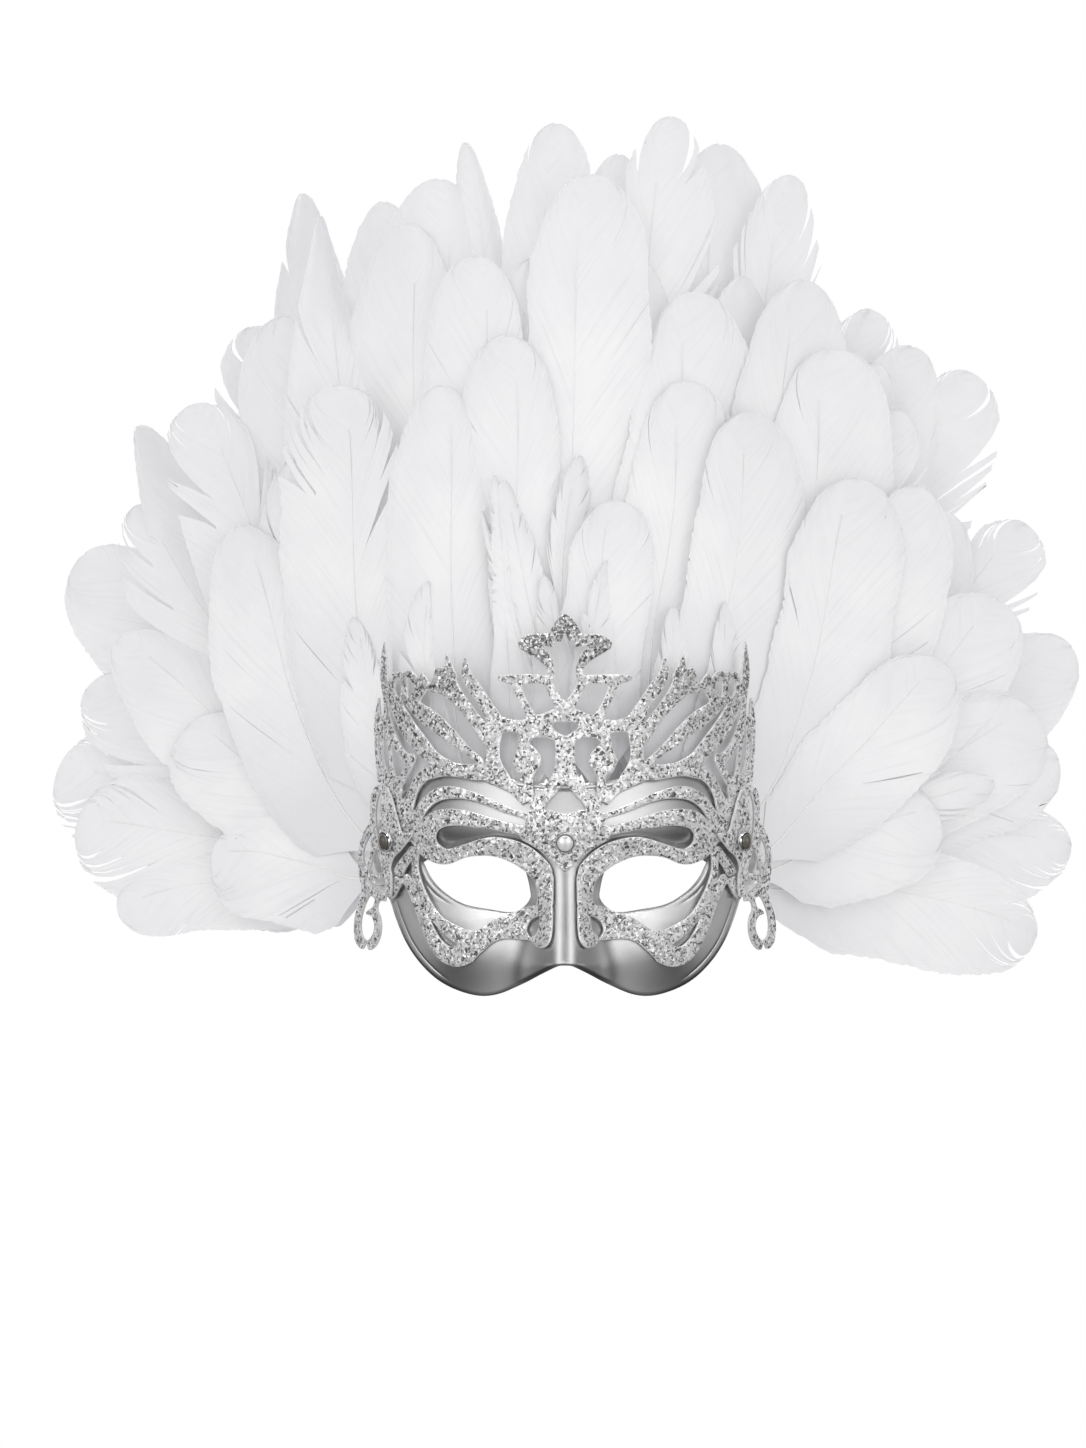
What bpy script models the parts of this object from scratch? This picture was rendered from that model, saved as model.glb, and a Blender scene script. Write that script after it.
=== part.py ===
"""Feathered eye mask: a moulded half mask, a glittered filigree sheet with two side wings, three set
stones, and three rows of feathers fused to glue bands behind the mask. The mask faces -Y, +X is to the
right of someone who looks at it, +Z is up, and the origin is the bridge of the nose.

Outlines are drawn as seen from the front, in millimetres (across, up), and lifted onto the curved form.
"""

import math

import bmesh
import bpy
import numpy as np
from mathutils import Vector
from mathutils.geometry import delaunay_2d_cdt

MM = 0.001

# The form that everything is bent round: an ellipse seen from above, then straight sides.
FORM_HALF_WIDTH = 78.0
FORM_DEPTH = 58.0
SIDE_SLOPE = 1.35

# What stands out of that form or sinks into it: a height, then (centre, reach, power) across and up.
BROW = {"height": 2.4, "across": (30, 34, 4), "up": (21, 10, 2)}
CHEEK = {"height": 3.6, "across": (37, 22, 2), "up": (-27, 15, 2)}
SOCKET = {"height": 4.6, "across": (35, 23, 4), "up": (0, 13.5, 4)}
BROW_ROLL_FROM = 25.0
BROW_ROLL = 0.006

# The nose grows in height and width down from its top, and fades into the brow.
NOSE_TOP = 13.0
NOSE_LENGTH = 46.0
NOSE_ROOT_HEIGHT = 1.2
NOSE_GROWTH = 17.0
NOSE_GROWTH_POWER = 1.15
NOSE_REACH = 6.4
NOSE_FLARE = 6.4
NOSE_POWER = 2.4
NOSE_FADE_TOP = 26.0
NOSE_FADE_LENGTH = 16.0

SHELL_THICKNESS = 1.6
SHELL_SPACING = 6.8
SHELL_OUTLINE_STEP = 4.5
SHEET_THICKNESS = 1.1
SHEET_SPACING = 7.0
SHEET_GAP = 1.1
WING_GAP = 0.8
CROWN_LEAN = 0.05
CROWN_FOOT = 33.0

# How finely outlines are drawn, and how far grid points keep from them as a share of their spacing.
OUTLINE_STEP = 3.0
OUTLINE_TOLERANCE = 0.28
LONGEST_SIDE = 9.0
SMALLEST_HOLE_AREA = 0.8
NARROWEST_RIBBON = 0.25
GRID_CLEARANCE = 0.45
SNAP_DISTANCE = 0.00001

STONE_RADIUS = 3.1
STONE_SIDES = 8
CUP_RADIUS = 4.0
CUP_SIDES = 10
POST_RADIUS = 1.3
CLEARANCE = 0.35
POST_CLEARANCE = 0.7
SEAT_HEIGHT = 0.75
CUP_FLOOR_THICKNESS = 0.5
CUP_INSIDE_DEPTH = 1.2
BEZEL_SLOPE = 0.45
BEZEL_TOP = 0.27
POST_END_GAP = 0.1
TABLE_SHARE = 0.58
TABLE_ABOVE_RIM = 0.9
GIRDLE_ABOVE_RIM = 0.1
GIRDLE_BELOW_RIM = 0.2
CENTRE_STONE = (0.0, 14.6)
TEMPLE_STONE = (70.0, 15.0)

# Feathers lie in six plies, two to a row. The plies open out with the distance from the brow.
BLADE_THICKNESS = 1.0
FIRST_PLY = 3.4
PLY_STEP = 2.0
PLY_SPREAD = 0.026
PLY_SPREAD_FROM = 50.0
FEATHER_LEAN = 0.14
FLATTEN_FROM = 80.0
FLATTEN_REACH = 52.0
FLAT_SLOPE = 0.15
TOP_FLATTENING = 0.3
TOP_FLATTENS_FROM = 40.0
TOP_FLATTENS_TO = 240.0

# The glue bands follow half an ellipse behind the brow and the temples, in a left, top and right length.
BAND_CENTRE_UP = 4.0
BAND_HALF_LENGTH = 74.0
BAND_HEIGHT = 31.0
BAND_WIDTH = 5.2
BAND_THICKNESS = PLY_STEP + 0.6
BAND_END = 4.5
BAND_STEP = 9.0
BAND_CORNER_CLEARANCE = 1.0
SECTOR_EDGE = 50.0
SECTOR_GAP = 0.8

SHELL_EDGE = [
    # across, up, corner: the right half of the outline, from the nose cut-out round to the brow
    (0, -33.2, 0), (4, -33.8, 0), (10, -36.6, 0), (18, -41.2, 0), (26, -44.9, 0), (34, -45.8, 0),
    (43, -43.6, 0), (51, -39.4, 0), (58, -32.8, 0), (63.5, -24.8, 0), (67.5, -15.6, 0), (70.2, -7.6, 0),
    (73, -1.2, 0), (76, 3.6, 0), (76.8, 9.6, 0), (74.6, 17.4, 0), (71, 25, 0), (66.6, 32, 0),
    (61.4, 37.4, 0), (55, 41, 0),
    (48, 42.4, 0), (38, 42, 0), (26, 40.6, 0), (12, 38.8, 0), (0, 38.3, 0),
]
EYE_HOLE = [
    (14.2, -3.5, 0), (14.6, -8, 0), (20, -12.2, 0), (30, -11.2, 0), (40, -9.3, 0), (48, -5, 0),
    (53.2, 0.3, 0), (56.6, 6.6, 1), (51, 9.6, 0), (43, 11.6, 0), (33, 12.2, 0), (24, 10.6, 0),
    (17, 5.6, 0),
]

# The right half of the filigree sheet, as ribbons: each is a line of (across, up, width).
CROWN_RIBBONS = {
    "star_ray": [(0, 105, 0.6), (1.9, 100.6, 3.8), (4.2, 94.6, 4.6)],
    "star_arm": [(3.6, 94.3, 4.4), (9, 94.6, 3.6), (14, 93.7, 4.8), (18.6, 92.8, 1.6)],
    "star_return": [
        (18, 92.6, 1.8), (13.5, 91, 3.4), (9, 88.6, 3.8), (6.4, 85.4, 2.9), (5.6, 82.4, 1.9),
        (6, 79, 2.4),
    ],
    "crossbar": [(5.8, 78.6, 3), (12, 79.2, 3.2), (20, 79, 3.7), (26.8, 79.7, 1.4)],
    "diagonal": [(0, 66.4, 6.4), (3.2, 71, 3.4), (6, 76, 3), (6.8, 79.4, 2.8)],
    "leg": [(19.6, 78, 3.2), (17.6, 72.4, 2.7), (14.6, 66.4, 3), (12, 62, 4.5)],
    "knot": [
        (-1, 65.8, 6.4), (4, 64.6, 5), (8.8, 61, 8.6), (13, 59.4, 6.8), (15.9, 55.6, 3.9),
        (17, 51.6, 3.2),
    ],
    "heart_arm": [(8.4, 60, 6), (4, 57, 3.6), (-1, 54, 4.6)],
    "column": [(0, 56.6, 7.4), (0, 47, 7.4), (0, 42.6, 8.6), (0, 38.6, 13.4)],
    "column_foot": [(1.6, 40, 5.6), (5.4, 36.2, 5.2), (9.4, 31.8, 5), (12, 27.6, 6.4)],
    "spade": [
        (17.1, 53.6, 2.8), (15.9, 50.8, 7.6), (15.1, 47.2, 11.2), (15.2, 44, 8.4), (14.7, 40.4, 4.4),
        (14.7, 36.4, 3.7), (14.8, 31, 5),
    ],
    "shoulder": [(13, 60.4, 6), (20, 60.6, 4.4), (25, 61.4, 5.4), (29, 61.6, 6.4)],
    "outer_column": [
        (27.4, 62, 6.6), (28.3, 56, 5.4), (28.5, 50, 4.6), (28, 45, 5.8), (24.4, 40, 5),
        (20, 35.8, 3.8), (15.4, 31.6, 4.6),
    ],
    "spike_inner": [
        (27.4, 62, 6.2), (31.9, 70, 4.5), (36.2, 76.2, 4.7), (39.2, 81.6, 3.4), (39.4, 86.8, 0.5),
    ],
    "ray_one": [(29.6, 55, 5.4), (34.4, 61.6, 4.6), (39, 67.4, 4.6), (43.6, 73, 6), (47.4, 77.6, 9)],
    "spike_outer": [(45.6, 79.6, 6), (46.2, 83.8, 3), (46.9, 87.6, 0.5)],
    "lobe": [
        (46, 77.6, 7.4), (51, 78.6, 10.2), (54, 79.2, 7.8), (56.6, 76.6, 4.4), (59, 72.6, 3.8),
        (61, 69.4, 3.8),
    ],
    "ray_two": [
        (32.8, 46.6, 1.8), (39, 51.2, 3), (46, 57.4, 5.2), (53, 63.2, 6.4), (59, 67.8, 5),
        (62.4, 71, 3.4),
    ],
    "ray_three": [
        (45, 44, 4.4), (52, 47.8, 5), (58, 54.2, 6.2), (62.8, 60.6, 6.2), (66.2, 67.2, 4.8),
        (68.8, 72.6, 2.8), (70.4, 78, 2),
    ],
    "arch_one": [(57.6, 76.2, 2.4), (60.2, 79.8, 2.5), (62.1, 82.4, 1.4)],
    "arch_middle": [(62, 82.2, 1.8), (63.7, 79, 2.2), (63.8, 74.6, 2), (64.2, 69.8, 4)],
    "arch_two": [(64, 79.4, 2), (66.5, 82, 2), (68.7, 78.6, 2), (69.3, 74.6, 2.2)],
    "tall_spike": [
        (71.9, 92.8, 0.3), (72.1, 87, 2), (72, 80, 2.6), (71.6, 74, 1.9), (71.1, 68, 1.7),
        (70.4, 62, 2.2), (68.6, 56.6, 2.5), (66, 51.6, 2.5), (63, 48.2, 3), (59.6, 48.2, 3.4),
    ],
    "bridge": [(70.4, 63, 3), (73.9, 62.6, 3)],
    "side_spike": [
        (74.3, 70.4, 0.3), (74.6, 66, 1.5), (74.9, 61.4, 1.9), (75.2, 56, 1.2), (74.9, 50, 1.2),
        (74.2, 44, 1.6), (73.3, 38.4, 2.4),
    ],
    "side_bar": [(73.5, 62.6, 2), (73, 57, 1.6), (72.9, 51, 1.2), (72.4, 45.6, 1.3), (71.6, 40.4, 2.6)],
    "hanging_bar": [
        (69.8, 61.6, 2.2), (70.3, 57, 2.2), (69.7, 53.4, 1.5), (69.3, 48, 1.1), (68.9, 43.6, 1.3),
        (68.2, 39.4, 2),
    ],
    "slant_bar": [(60.6, 49, 2.6), (61.9, 45.4, 2.3), (63.7, 41.8, 2.1), (66, 38, 3)],
    "side_foot": [(65.4, 36.6, 4), (68.4, 38.2, 4.4), (72.8, 40, 2.8)],
    "lower_rim": [
        (19.6, 36, 3.6), (27, 40.4, 5.6), (31.5, 43, 7), (37, 42.4, 5.6), (45, 43.6, 5),
        (51.4, 43.4, 6), (56.2, 41, 4), (59.4, 37, 3.2), (61.6, 32, 3.4), (62.6, 27, 4.4),
    ],
    "side_ground": [
        (55, 14, 9), (59.6, 19.4, 6.4), (62.8, 25, 7.6), (65.2, 30.6, 5.6), (68, 36.4, 4.4),
    ],
    "under_wing": [(60, 19, 5), (66, 17, 7), (71.8, 14.6, 7.6)],
    "centre_plate": [
        (0, 2.4, 0.8), (0, 7, 9.4), (0, 11, 20), (0, 15.4, 34), (0, 20, 33), (0, 24.6, 30),
        (0, 27.6, 27),
    ],
    "stripe": [
        (12, 24.6, 3), (20, 27, 2.3), (28, 30, 3), (36, 32.8, 3.3), (44, 34.5, 4.3), (49.5, 34, 4.6),
        (54, 31.4, 4.2), (57.4, 27, 3.8), (59.6, 21.6, 4),
    ],
    "swirl": [
        (13.4, 19, 3.6), (22, 20.4, 3.4), (30, 22.5, 4.2), (38, 24, 6), (45, 24.7, 6.8),
        (50.8, 23.4, 7.2), (54.8, 19.8, 7.6), (55.6, 15.2, 8.4), (52.8, 11.2, 7), (47.4, 9.3, 6.2),
        (41, 11.1, 5), (34, 12.9, 6.4), (26, 12.8, 7.4), (17, 9.6, 8.4), (9.8, 3.6, 8.2), (8, -3, 6.2),
        (7.8, -9.6, 5.8),
    ],
    "inner_lobe": [(7.8, -9, 5.8), (9.4, -14, 9), (10, -19, 10), (9, -24, 7.6), (9, -26.4, 4.4)],
    "under_eye": [
        (11, -16.4, 13), (16, -17.4, 12), (20, -18, 10), (25, -18.8, 8.4), (30, -21.2, 6.8),
        (35, -24.8, 7.6), (39.6, -28, 9.6),
    ],
    "inner_strip": [
        (35, -23.6, 6.4), (40, -22.8, 6.4), (46, -19.4, 5), (50, -16.2, 3.6), (53.8, -11.4, 3.4),
        (57, -5.4, 3.1), (58.9, 0, 2.6), (59.6, 5, 1.9), (59.4, 11, 2.4),
    ],
    "outer_strip": [
        (38, -28, 8.6), (42.6, -30.2, 7.8), (47.4, -29.2, 6.2), (51.6, -24.8, 4.8), (55, -18, 4),
        (58, -10.6, 3.4), (60.8, -4, 3.1), (63.4, 0.4, 3.2), (65.5, 1, 3.6), (67.2, -2.4, 2.7),
        (68.9, -6.2, 2), (70.1, -9.4, 0.8),
    ],
    "side_strip": [(59.8, 12.6, 2.8), (62.4, 8.8, 3), (65.2, 5, 3.4), (66.6, 1.6, 3.4)],
}

# Slots that are cut through the sheet, each a closed outline of (across, up, corner): a corner of 1 is sharp.
CROWN_SLOTS = {
    "heart": [(0, 62.4, 0), (5, 61.8, 0), (4.4, 59.2, 0), (0, 56.6, 1), (-4.4, 59.2, 0), (-5, 61.8, 0)],
    "brow_arch": [
        (0, 37, 1), (4.4, 33.8, 0), (7.6, 29.6, 0), (4, 27, 0), (0, 26.2, 0), (-4, 27, 0),
        (-7.6, 29.6, 0), (-4.4, 33.8, 0),
    ],
}

# The same for slots that are there once on each side.
HALF_SLOTS = {
    "teardrop": [
        (5.4, 2, 1), (6, 5.6, 0), (11, 10.9, 0), (17.5, 14.9, 0), (25, 17.1, 0), (33, 16.2, 0),
        (41, 13.6, 0), (47.4, 12.1, 0), (51.2, 15.6, 0), (50.4, 19.6, 0), (45, 21.4, 0), (36, 20.8, 0),
        (27, 18.6, 0), (19, 16.6, 0), (11, 12.3, 0), (5.4, 7.8, 0), (2.2, 3.6, 1),
    ],
    "brow_gap": [
        (14, 26, 1), (19, 31.6, 0), (26, 35.6, 0), (34, 38.6, 0), (42, 40.4, 0), (49, 40.8, 0),
        (55, 38, 0), (58.6, 33, 0), (61.4, 24.8, 1), (58, 30.8, 0), (53, 35.6, 0), (46, 37.1, 0),
        (37, 35, 0), (27, 30.8, 0), (19, 27.4, 0),
    ],
    "stripe_gap": [
        (15.4, 21.6, 1), (17.4, 24.6, 0), (24, 26.8, 0), (33, 30.4, 0), (41, 32.2, 0), (49, 31.6, 0),
        (54.4, 28, 0), (58, 21, 1), (54.4, 25.8, 0), (48, 28, 0), (39, 27.4, 0), (28, 24.2, 0),
    ],
    "marquise": [(10.6, -14.4, 0), (13.8, -16, 0), (15, -20, 0), (13, -22.2, 0), (11, -19, 0)],
    "side_drop": [
        (56.2, 44.4, 0), (58, 47, 0), (60, 45.6, 0), (62, 40.6, 0), (65.4, 33.4, 0), (64.4, 31.4, 0),
        (62.4, 34.6, 0), (59.6, 40.4, 0),
    ],
}

# The right wing, as ribbons of (across, up, width).
WING_RIBBONS = {
    "leaf": [
        (72.4, 36.6, 2), (71, 31.6, 3.8), (70.4, 26, 5.6), (69.8, 20, 7.6), (69.4, 15, 9.4),
        (71, 10.4, 6.6), (71.4, 6, 3.2), (71.2, 3, 2),
    ],
    "tongue": [(60.8, 18.3, 0.6), (64, 16.4, 4), (68, 14.4, 8)],
    "upper_ring": [
        (72.4, 36, 2.6), (74.8, 35.4, 2.6), (76.2, 31, 2.2), (76.5, 26, 1.8), (76.5, 21.4, 2.2),
        (76, 17.4, 2), (75.2, 13.6, 2),
    ],
    "ring_link": [(73.6, 13.6, 2.6), (75.6, 13, 2)],
    "lower_ring": [
        (76.4, 21.8, 2.2), (78.4, 19, 2.4), (80.1, 15.6, 2), (81.3, 11, 1.5), (81.2, 6, 1.9),
        (80.3, 1, 3), (79, -4, 3.6),
    ],
    "ring_back": [(76, 18.4, 2), (76.1, 13.6, 1.7), (77, 9, 1.1), (78.4, 4.4, 1.2), (80, 1.4, 2)],
    "lower_bar": [(71, 5.4, 2.4), (71.8, 1.8, 2.2), (75.4, 0.7, 1.9), (79.6, 0.8, 2.4)],
    "corner": [
        (70.6, 3, 2.2), (70.2, -2.6, 1.7), (70.9, -7.4, 2), (73.6, -7, 2.2), (76.6, -5, 3.2),
        (79.4, -3.4, 3.6),
    ],
    "curl": [
        (78.8, -4, 3.4), (80.9, -9.6, 2.2), (82.5, -15, 2.2), (82.8, -20, 2.3), (81.9, -24.4, 3),
        (79.3, -26.6, 3.6), (76.5, -25, 3), (74.8, -21, 2.3), (74.7, -16.8, 2.3), (75.9, -13.8, 2.6),
        (77.9, -13, 1.9), (79.3, -14.2, 0.5),
    ],
    "curl_link": [(76, -13, 2), (75.4, -10, 1.2), (74, -6.6, 1.6)],
}

# Feathers: angle of the root round the brow (degrees from the top, + to the right), tip across, tip up,
# width, bow.
FEATHERS = {
    "front": [
        (-97, -142, 8, 34, 0.03), (-89, -150, 62, 36, 0.04), (-80, -131, 141, 36, 0.09),
        (-66, -108, 168, 34, 0.08), (-55, -92, 197, 37, 0.07), (-43, -57, 172, 32, 0.06),
        (-31, -48, 196, 32, 0.04), (-18, -24, 216, 32, 0.01), (-8, -24, 158, 22, -0.02),
        (2, 6, 168, 21, 0.02), (12, 20, 150, 26, 0.03), (25, 47, 198, 42, -0.03),
        (41, 74, 186, 36, -0.05), (56, 107, 212, 39, -0.07), (68, 118, 160, 36, -0.08),
        (79, 141, 157, 31, -0.08), (89, 152, 86, 36, -0.04), (97, 150, 26, 34, -0.02),
    ],
    "middle": [
        (-103, -180, -14, 24, -0.03), (-95, -197, 20, 40, 0.01), (-84, -180, 96, 36, 0.04),
        (-73, -172, 150, 36, 0.05), (-63, -150, 190, 34, 0.05), (-53, -112, 226, 36, 0.05),
        (-44, -98, 266, 36, 0.05), (-34, -62, 262, 34, 0.04), (-23, -34, 248, 32, 0.03),
        (-11, -13, 247, 32, 0), (1, 10, 281, 38, -0.01), (12, 31, 246, 32, -0.02),
        (22, 50, 234, 44, -0.03), (33, 72, 241, 34, -0.04), (44, 97, 240, 38, -0.05),
        (55, 125, 207, 31, -0.05), (65, 134, 188, 34, -0.06), (75, 153, 148, 37, -0.05),
        (84, 176, 111, 34, -0.05), (91, 190, 66, 36, -0.02), (97, 173, 38, 28, 0),
        (104, 190, -25, 36, 0.03),
    ],
    "back": [
        (-97, -168, 2, 34, 0), (-89, -205, 43, 38, 0.02), (-80, -193, 76, 40, 0.03),
        (-71, -195, 130, 42, 0.04), (-62, -172, 182, 30, 0.05), (-53, -127, 222, 38, 0.05),
        (-45, -106, 276, 30, 0.05), (-36, -73, 272, 34, 0.04), (-26, -50, 280, 34, 0.03),
        (-15, -40, 295, 28, 0.02), (-4, -3, 302, 32, 0), (7, 22, 290, 32, -0.01),
        (16, 43, 305, 38, -0.02), (26, 63, 295, 36, -0.03), (37, 92, 283, 38, -0.04),
        (47, 124, 229, 35, -0.05), (56, 141, 214, 30, -0.05), (65, 164, 204, 35, -0.05),
        (74, 187, 142, 32, -0.05), (82, 206, 92, 38, -0.03), (90, 200, 46, 34, 0),
        (98, 205, 12, 38, 0.02),
    ],
}
FEATHER_STATIONS = [
    # share of the length, share of the width
    (0.0, 0.08), (0.09, 0.09), (0.22, 0.22), (0.37, 0.53), (0.52, 0.78), (0.67, 0.95), (0.82, 0.98),
    (0.94, 0.72), (1.0, 0.26),
]


def spread(points, closed, step):
    """A smooth line through the points (Catmull-Rom), about a step apart. On a closed line, a last value of
    1 keeps a corner."""
    points = [np.array(p, float) for p in points]
    count = len(points)
    made = []
    for i in range(count if closed else count - 1):
        first, second = points[i], points[(i + 1) % count]
        before = points[(i - 1) % count] if closed or i > 0 else 2 * first - second
        after = points[(i + 2) % count] if closed or i + 2 < count else 2 * second - first
        chord = np.linalg.norm((second - first)[:2])
        leave, arrive = (second - before) / 2, (after - first) / 2
        if closed and first[2] > 0.5:
            leave = second - first
        if closed and second[2] > 0.5:
            arrive = second - first
        pieces = max(1, round(chord / step))
        for k in range(pieces):
            t = k / pieces
            made.append(
                (2 * t**3 - 3 * t**2 + 1) * first + (t**3 - 2 * t**2 + t) * leave
                + (3 * t**2 - 2 * t**3) * second + (t**3 - t**2) * arrive
            )
    if not closed:
        made.append(points[-1])
    return made


def ribbon_quads(nodes, step):
    """The ribbon through (across, up, width) nodes, as one four-sided piece for each step along it."""
    line = spread(nodes, False, step)
    middle = np.array([p[:2] for p in line])
    along = np.gradient(middle, axis=0)
    along /= np.linalg.norm(along, axis=1)[:, None]
    beside = np.stack([-along[:, 1], along[:, 0]], axis=1)
    half = np.maximum(np.array([p[2] for p in line]), NARROWEST_RIBBON)[:, None] / 2
    left, right = middle + beside * half, middle - beside * half
    return [[right[i], right[i + 1], left[i + 1], left[i]] for i in range(len(line) - 1)]


def facing_up(polygon):
    """The polygon with its points anticlockwise."""
    area = sum(a[0] * b[1] - b[0] * a[1] for a, b in zip(polygon, polygon[1:] + polygon[:1]))
    return polygon if area > 0 else polygon[::-1]


def triangles_inside(solid, cut, extra=()):
    """Points and triangles of the union of the solid polygons less the cut ones."""
    points, faces = [Vector(p) for p in extra], []
    for polygon in solid + cut:
        faces.append(list(range(len(points), len(points) + len(polygon))))
        points.extend(Vector((p[0], p[1])) for p in facing_up(list(polygon)))
    found = delaunay_2d_cdt(points, [], faces, 1, SNAP_DISTANCE)
    kept = [
        face for face, sources in zip(found[2], found[5])
        if sources and min(sources) < len(solid) and max(sources) < len(solid)
    ]
    return [np.array(p) for p in found[0]], kept


def outline_loops(points, triangles):
    """The closed boundary lines round a set of triangles."""
    edges = {}
    for triangle in triangles:
        for a, b in zip(triangle, triangle[1:] + triangle[:1]):
            edges[(a, b)] = True
    following = {}
    for a, b in edges:
        if (b, a) not in edges:
            following.setdefault(a, []).append(b)
    loops = []
    while following:
        start = next(iter(following))
        loop, at = [], start
        while at in following:
            loop.append(at)
            onward = following[at].pop()
            if not following[at]:
                del following[at]
            at = onward
        loops.append([points[i] for i in loop])
    return loops


def thinned(loop, tolerance):
    """The loop without the points that lie within the tolerance of the line past them (Douglas-Peucker)."""
    loop = np.array(loop)
    far = int(np.argmax(np.linalg.norm(loop - loop[0], axis=1)))

    def kept(first, last):
        if last - first < 2:
            return []
        a, b = loop[first % len(loop)], loop[last % len(loop)]
        chord = (b - a) / max(np.linalg.norm(b - a), 1e-9)
        between = loop[[k % len(loop) for k in range(first + 1, last)]] - a
        away = np.abs(between[:, 0] * chord[1] - between[:, 1] * chord[0])
        worst = int(np.argmax(away))
        if away[worst] < tolerance:
            return []
        middle = first + 1 + worst
        return kept(first, middle) + [middle] + kept(middle, last)

    picked = [0] + kept(0, far) + [far] + kept(far, len(loop))
    return [loop[k % len(loop)] for k in picked]


def split_long(loop, longest):
    """The loop with its long sides divided, so that it bends with the form."""
    made = []
    for a, b in zip(loop, loop[1:] + loop[:1]):
        pieces = math.ceil(np.linalg.norm(b - a) / longest)
        made.extend(a + (b - a) * k / pieces for k in range(pieces))
    return made


def signed_area(loop):
    return 0.5 * sum(a[0] * b[1] - b[0] * a[1] for a, b in zip(loop, loop[1:] + loop[:1]))


def grid_points(loops, spacing):
    """Staggered grid points inside the loops, kept clear of their lines."""
    rings = [np.array(loop) for loop in loops]
    lines = np.concatenate([np.stack([ring, np.roll(ring, -1, axis=0)], axis=1) for ring in rings])
    low, high = lines.reshape(-1, 2).min(axis=0), lines.reshape(-1, 2).max(axis=0)
    made = []
    half_columns = math.ceil(max(-low[0], high[0]) / spacing)
    for row in range(math.floor(low[1] / spacing), math.ceil(high[1] / spacing) + 1):
        up = row * spacing
        for column in range(-half_columns, half_columns + 1):
            across = (column + 0.5 * (row % 2)) * spacing
            a, b = lines[:, 0], lines[:, 1]
            side = b - a
            share = np.clip(((np.array([across, up]) - a) * side).sum(axis=1) / (side**2).sum(axis=1), 0, 1)
            away = np.linalg.norm(a + side * share[:, None] - [across, up], axis=1).min()
            crossing = (a[:, 1] > up) != (b[:, 1] > up)
            at = a[crossing, 0] + (up - a[crossing, 1]) / (b - a)[crossing, 1] * (b - a)[crossing, 0]
            if away > spacing * GRID_CLEARANCE and (at > across).sum() % 2 == 1:
                made.append((across, up))
    return made


def form_depth(across):
    """How far back the form lies at a distance from the middle."""
    joint = FORM_HALF_WIDTH * SIDE_SLOPE / math.hypot(SIDE_SLOPE, FORM_DEPTH / FORM_HALF_WIDTH)
    reach = min(abs(across), joint)
    depth = FORM_DEPTH * (1 - math.sqrt(1 - (reach / FORM_HALF_WIDTH) ** 2))
    return depth + SIDE_SLOPE * max(abs(across) - joint, 0)


def bump(value, centre, reach, power):
    return math.exp(-(abs((value - centre) / reach) ** power))


def swell(shape, across, up):
    return shape["height"] * bump(abs(across), *shape["across"]) * bump(up, *shape["up"])


def nose_height(across, up):
    down = min(max((NOSE_TOP - up) / NOSE_LENGTH, 0), 1)
    ridge = NOSE_ROOT_HEIGHT + NOSE_GROWTH * down**NOSE_GROWTH_POWER
    fade = min(max((NOSE_FADE_TOP - up) / NOSE_FADE_LENGTH, 0), 1)
    return ridge * fade * bump(abs(across), 0, NOSE_REACH + NOSE_FLARE * down, NOSE_POWER)


def face_depth(across, up):
    """The mask's face without its eye sockets: nose, brow and cheeks stand out of the form."""
    return form_depth(across) - nose_height(across, up) - swell(BROW, across, up) - swell(CHEEK, across, up)


def shell_depth(across, up):
    roll = BROW_ROLL * max(up - BROW_ROLL_FROM, 0) ** 2
    return face_depth(across, up) + swell(SOCKET, across, up) + roll


def slope_across(depth, across, up, step=0.5):
    return (depth(across + step, up) - depth(across - step, up)) / (2 * step)


def slope_up(depth, across, up, step=0.5):
    return (depth(across, up + step) - depth(across, up - step)) / (2 * step)


def crown_depth(across, up):
    """The filigree bridges the sockets and rises from the brow with a slight lean."""
    roll = BROW_ROLL * (min(max(up, BROW_ROLL_FROM), CROWN_FOOT) - BROW_ROLL_FROM) ** 2
    rise = roll + CROWN_LEAN * max(up - CROWN_FOOT, 0)
    steepness = math.hypot(1, slope_across(face_depth, across, up))
    return face_depth(across, up) + rise - (SHEET_GAP + SHEET_THICKNESS) * steepness


def wing_depth(across, up):
    steepness = math.hypot(1, slope_across(crown_depth, across, up))
    return crown_depth(across, up) - (WING_GAP + SHEET_THICKNESS) * steepness


def smooth_step(value, low, high):
    share = min(max((value - low) / (high - low), 0), 1)
    return share * share * (3 - 2 * share)


def fan_depth(across, up):
    """The surface that the first feathers would lie on if they touched the form: it flattens past the
    temples, opens out above them and leans back."""
    past = max(abs(across) - FLATTEN_FROM, 0)
    eased = min(past, FLATTEN_REACH)
    bend = (SIDE_SLOPE - FLAT_SLOPE) / (2 * FLATTEN_REACH)
    wrap = form_depth(min(abs(across), FLATTEN_FROM)) + SIDE_SLOPE * eased - bend * eased**2
    wrap += FLAT_SLOPE * max(past - FLATTEN_REACH, 0)
    flattened = 1 - TOP_FLATTENING * smooth_step(up, TOP_FLATTENS_FROM, TOP_FLATTENS_TO)
    return wrap * flattened + FEATHER_LEAN * max(up - CROWN_FOOT, 0)


def ply_depth(across, up, ply):
    """How far back a ply lies. Plies are counted from 0, the foremost; a band lies between two."""
    steepness = math.hypot(1, slope_across(fan_depth, across, up))
    out = max(math.hypot(across, up - BAND_CENTRE_UP) - PLY_SPREAD_FROM, 0)
    return fan_depth(across, up) + (FIRST_PLY + PLY_STEP * ply) * steepness + PLY_SPREAD * ply * out


def link_object(name, mesh, material, collection):
    made = bpy.data.objects.new(name, mesh)
    made.data.materials.append(material)
    collection.objects.link(made)
    return made


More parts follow.
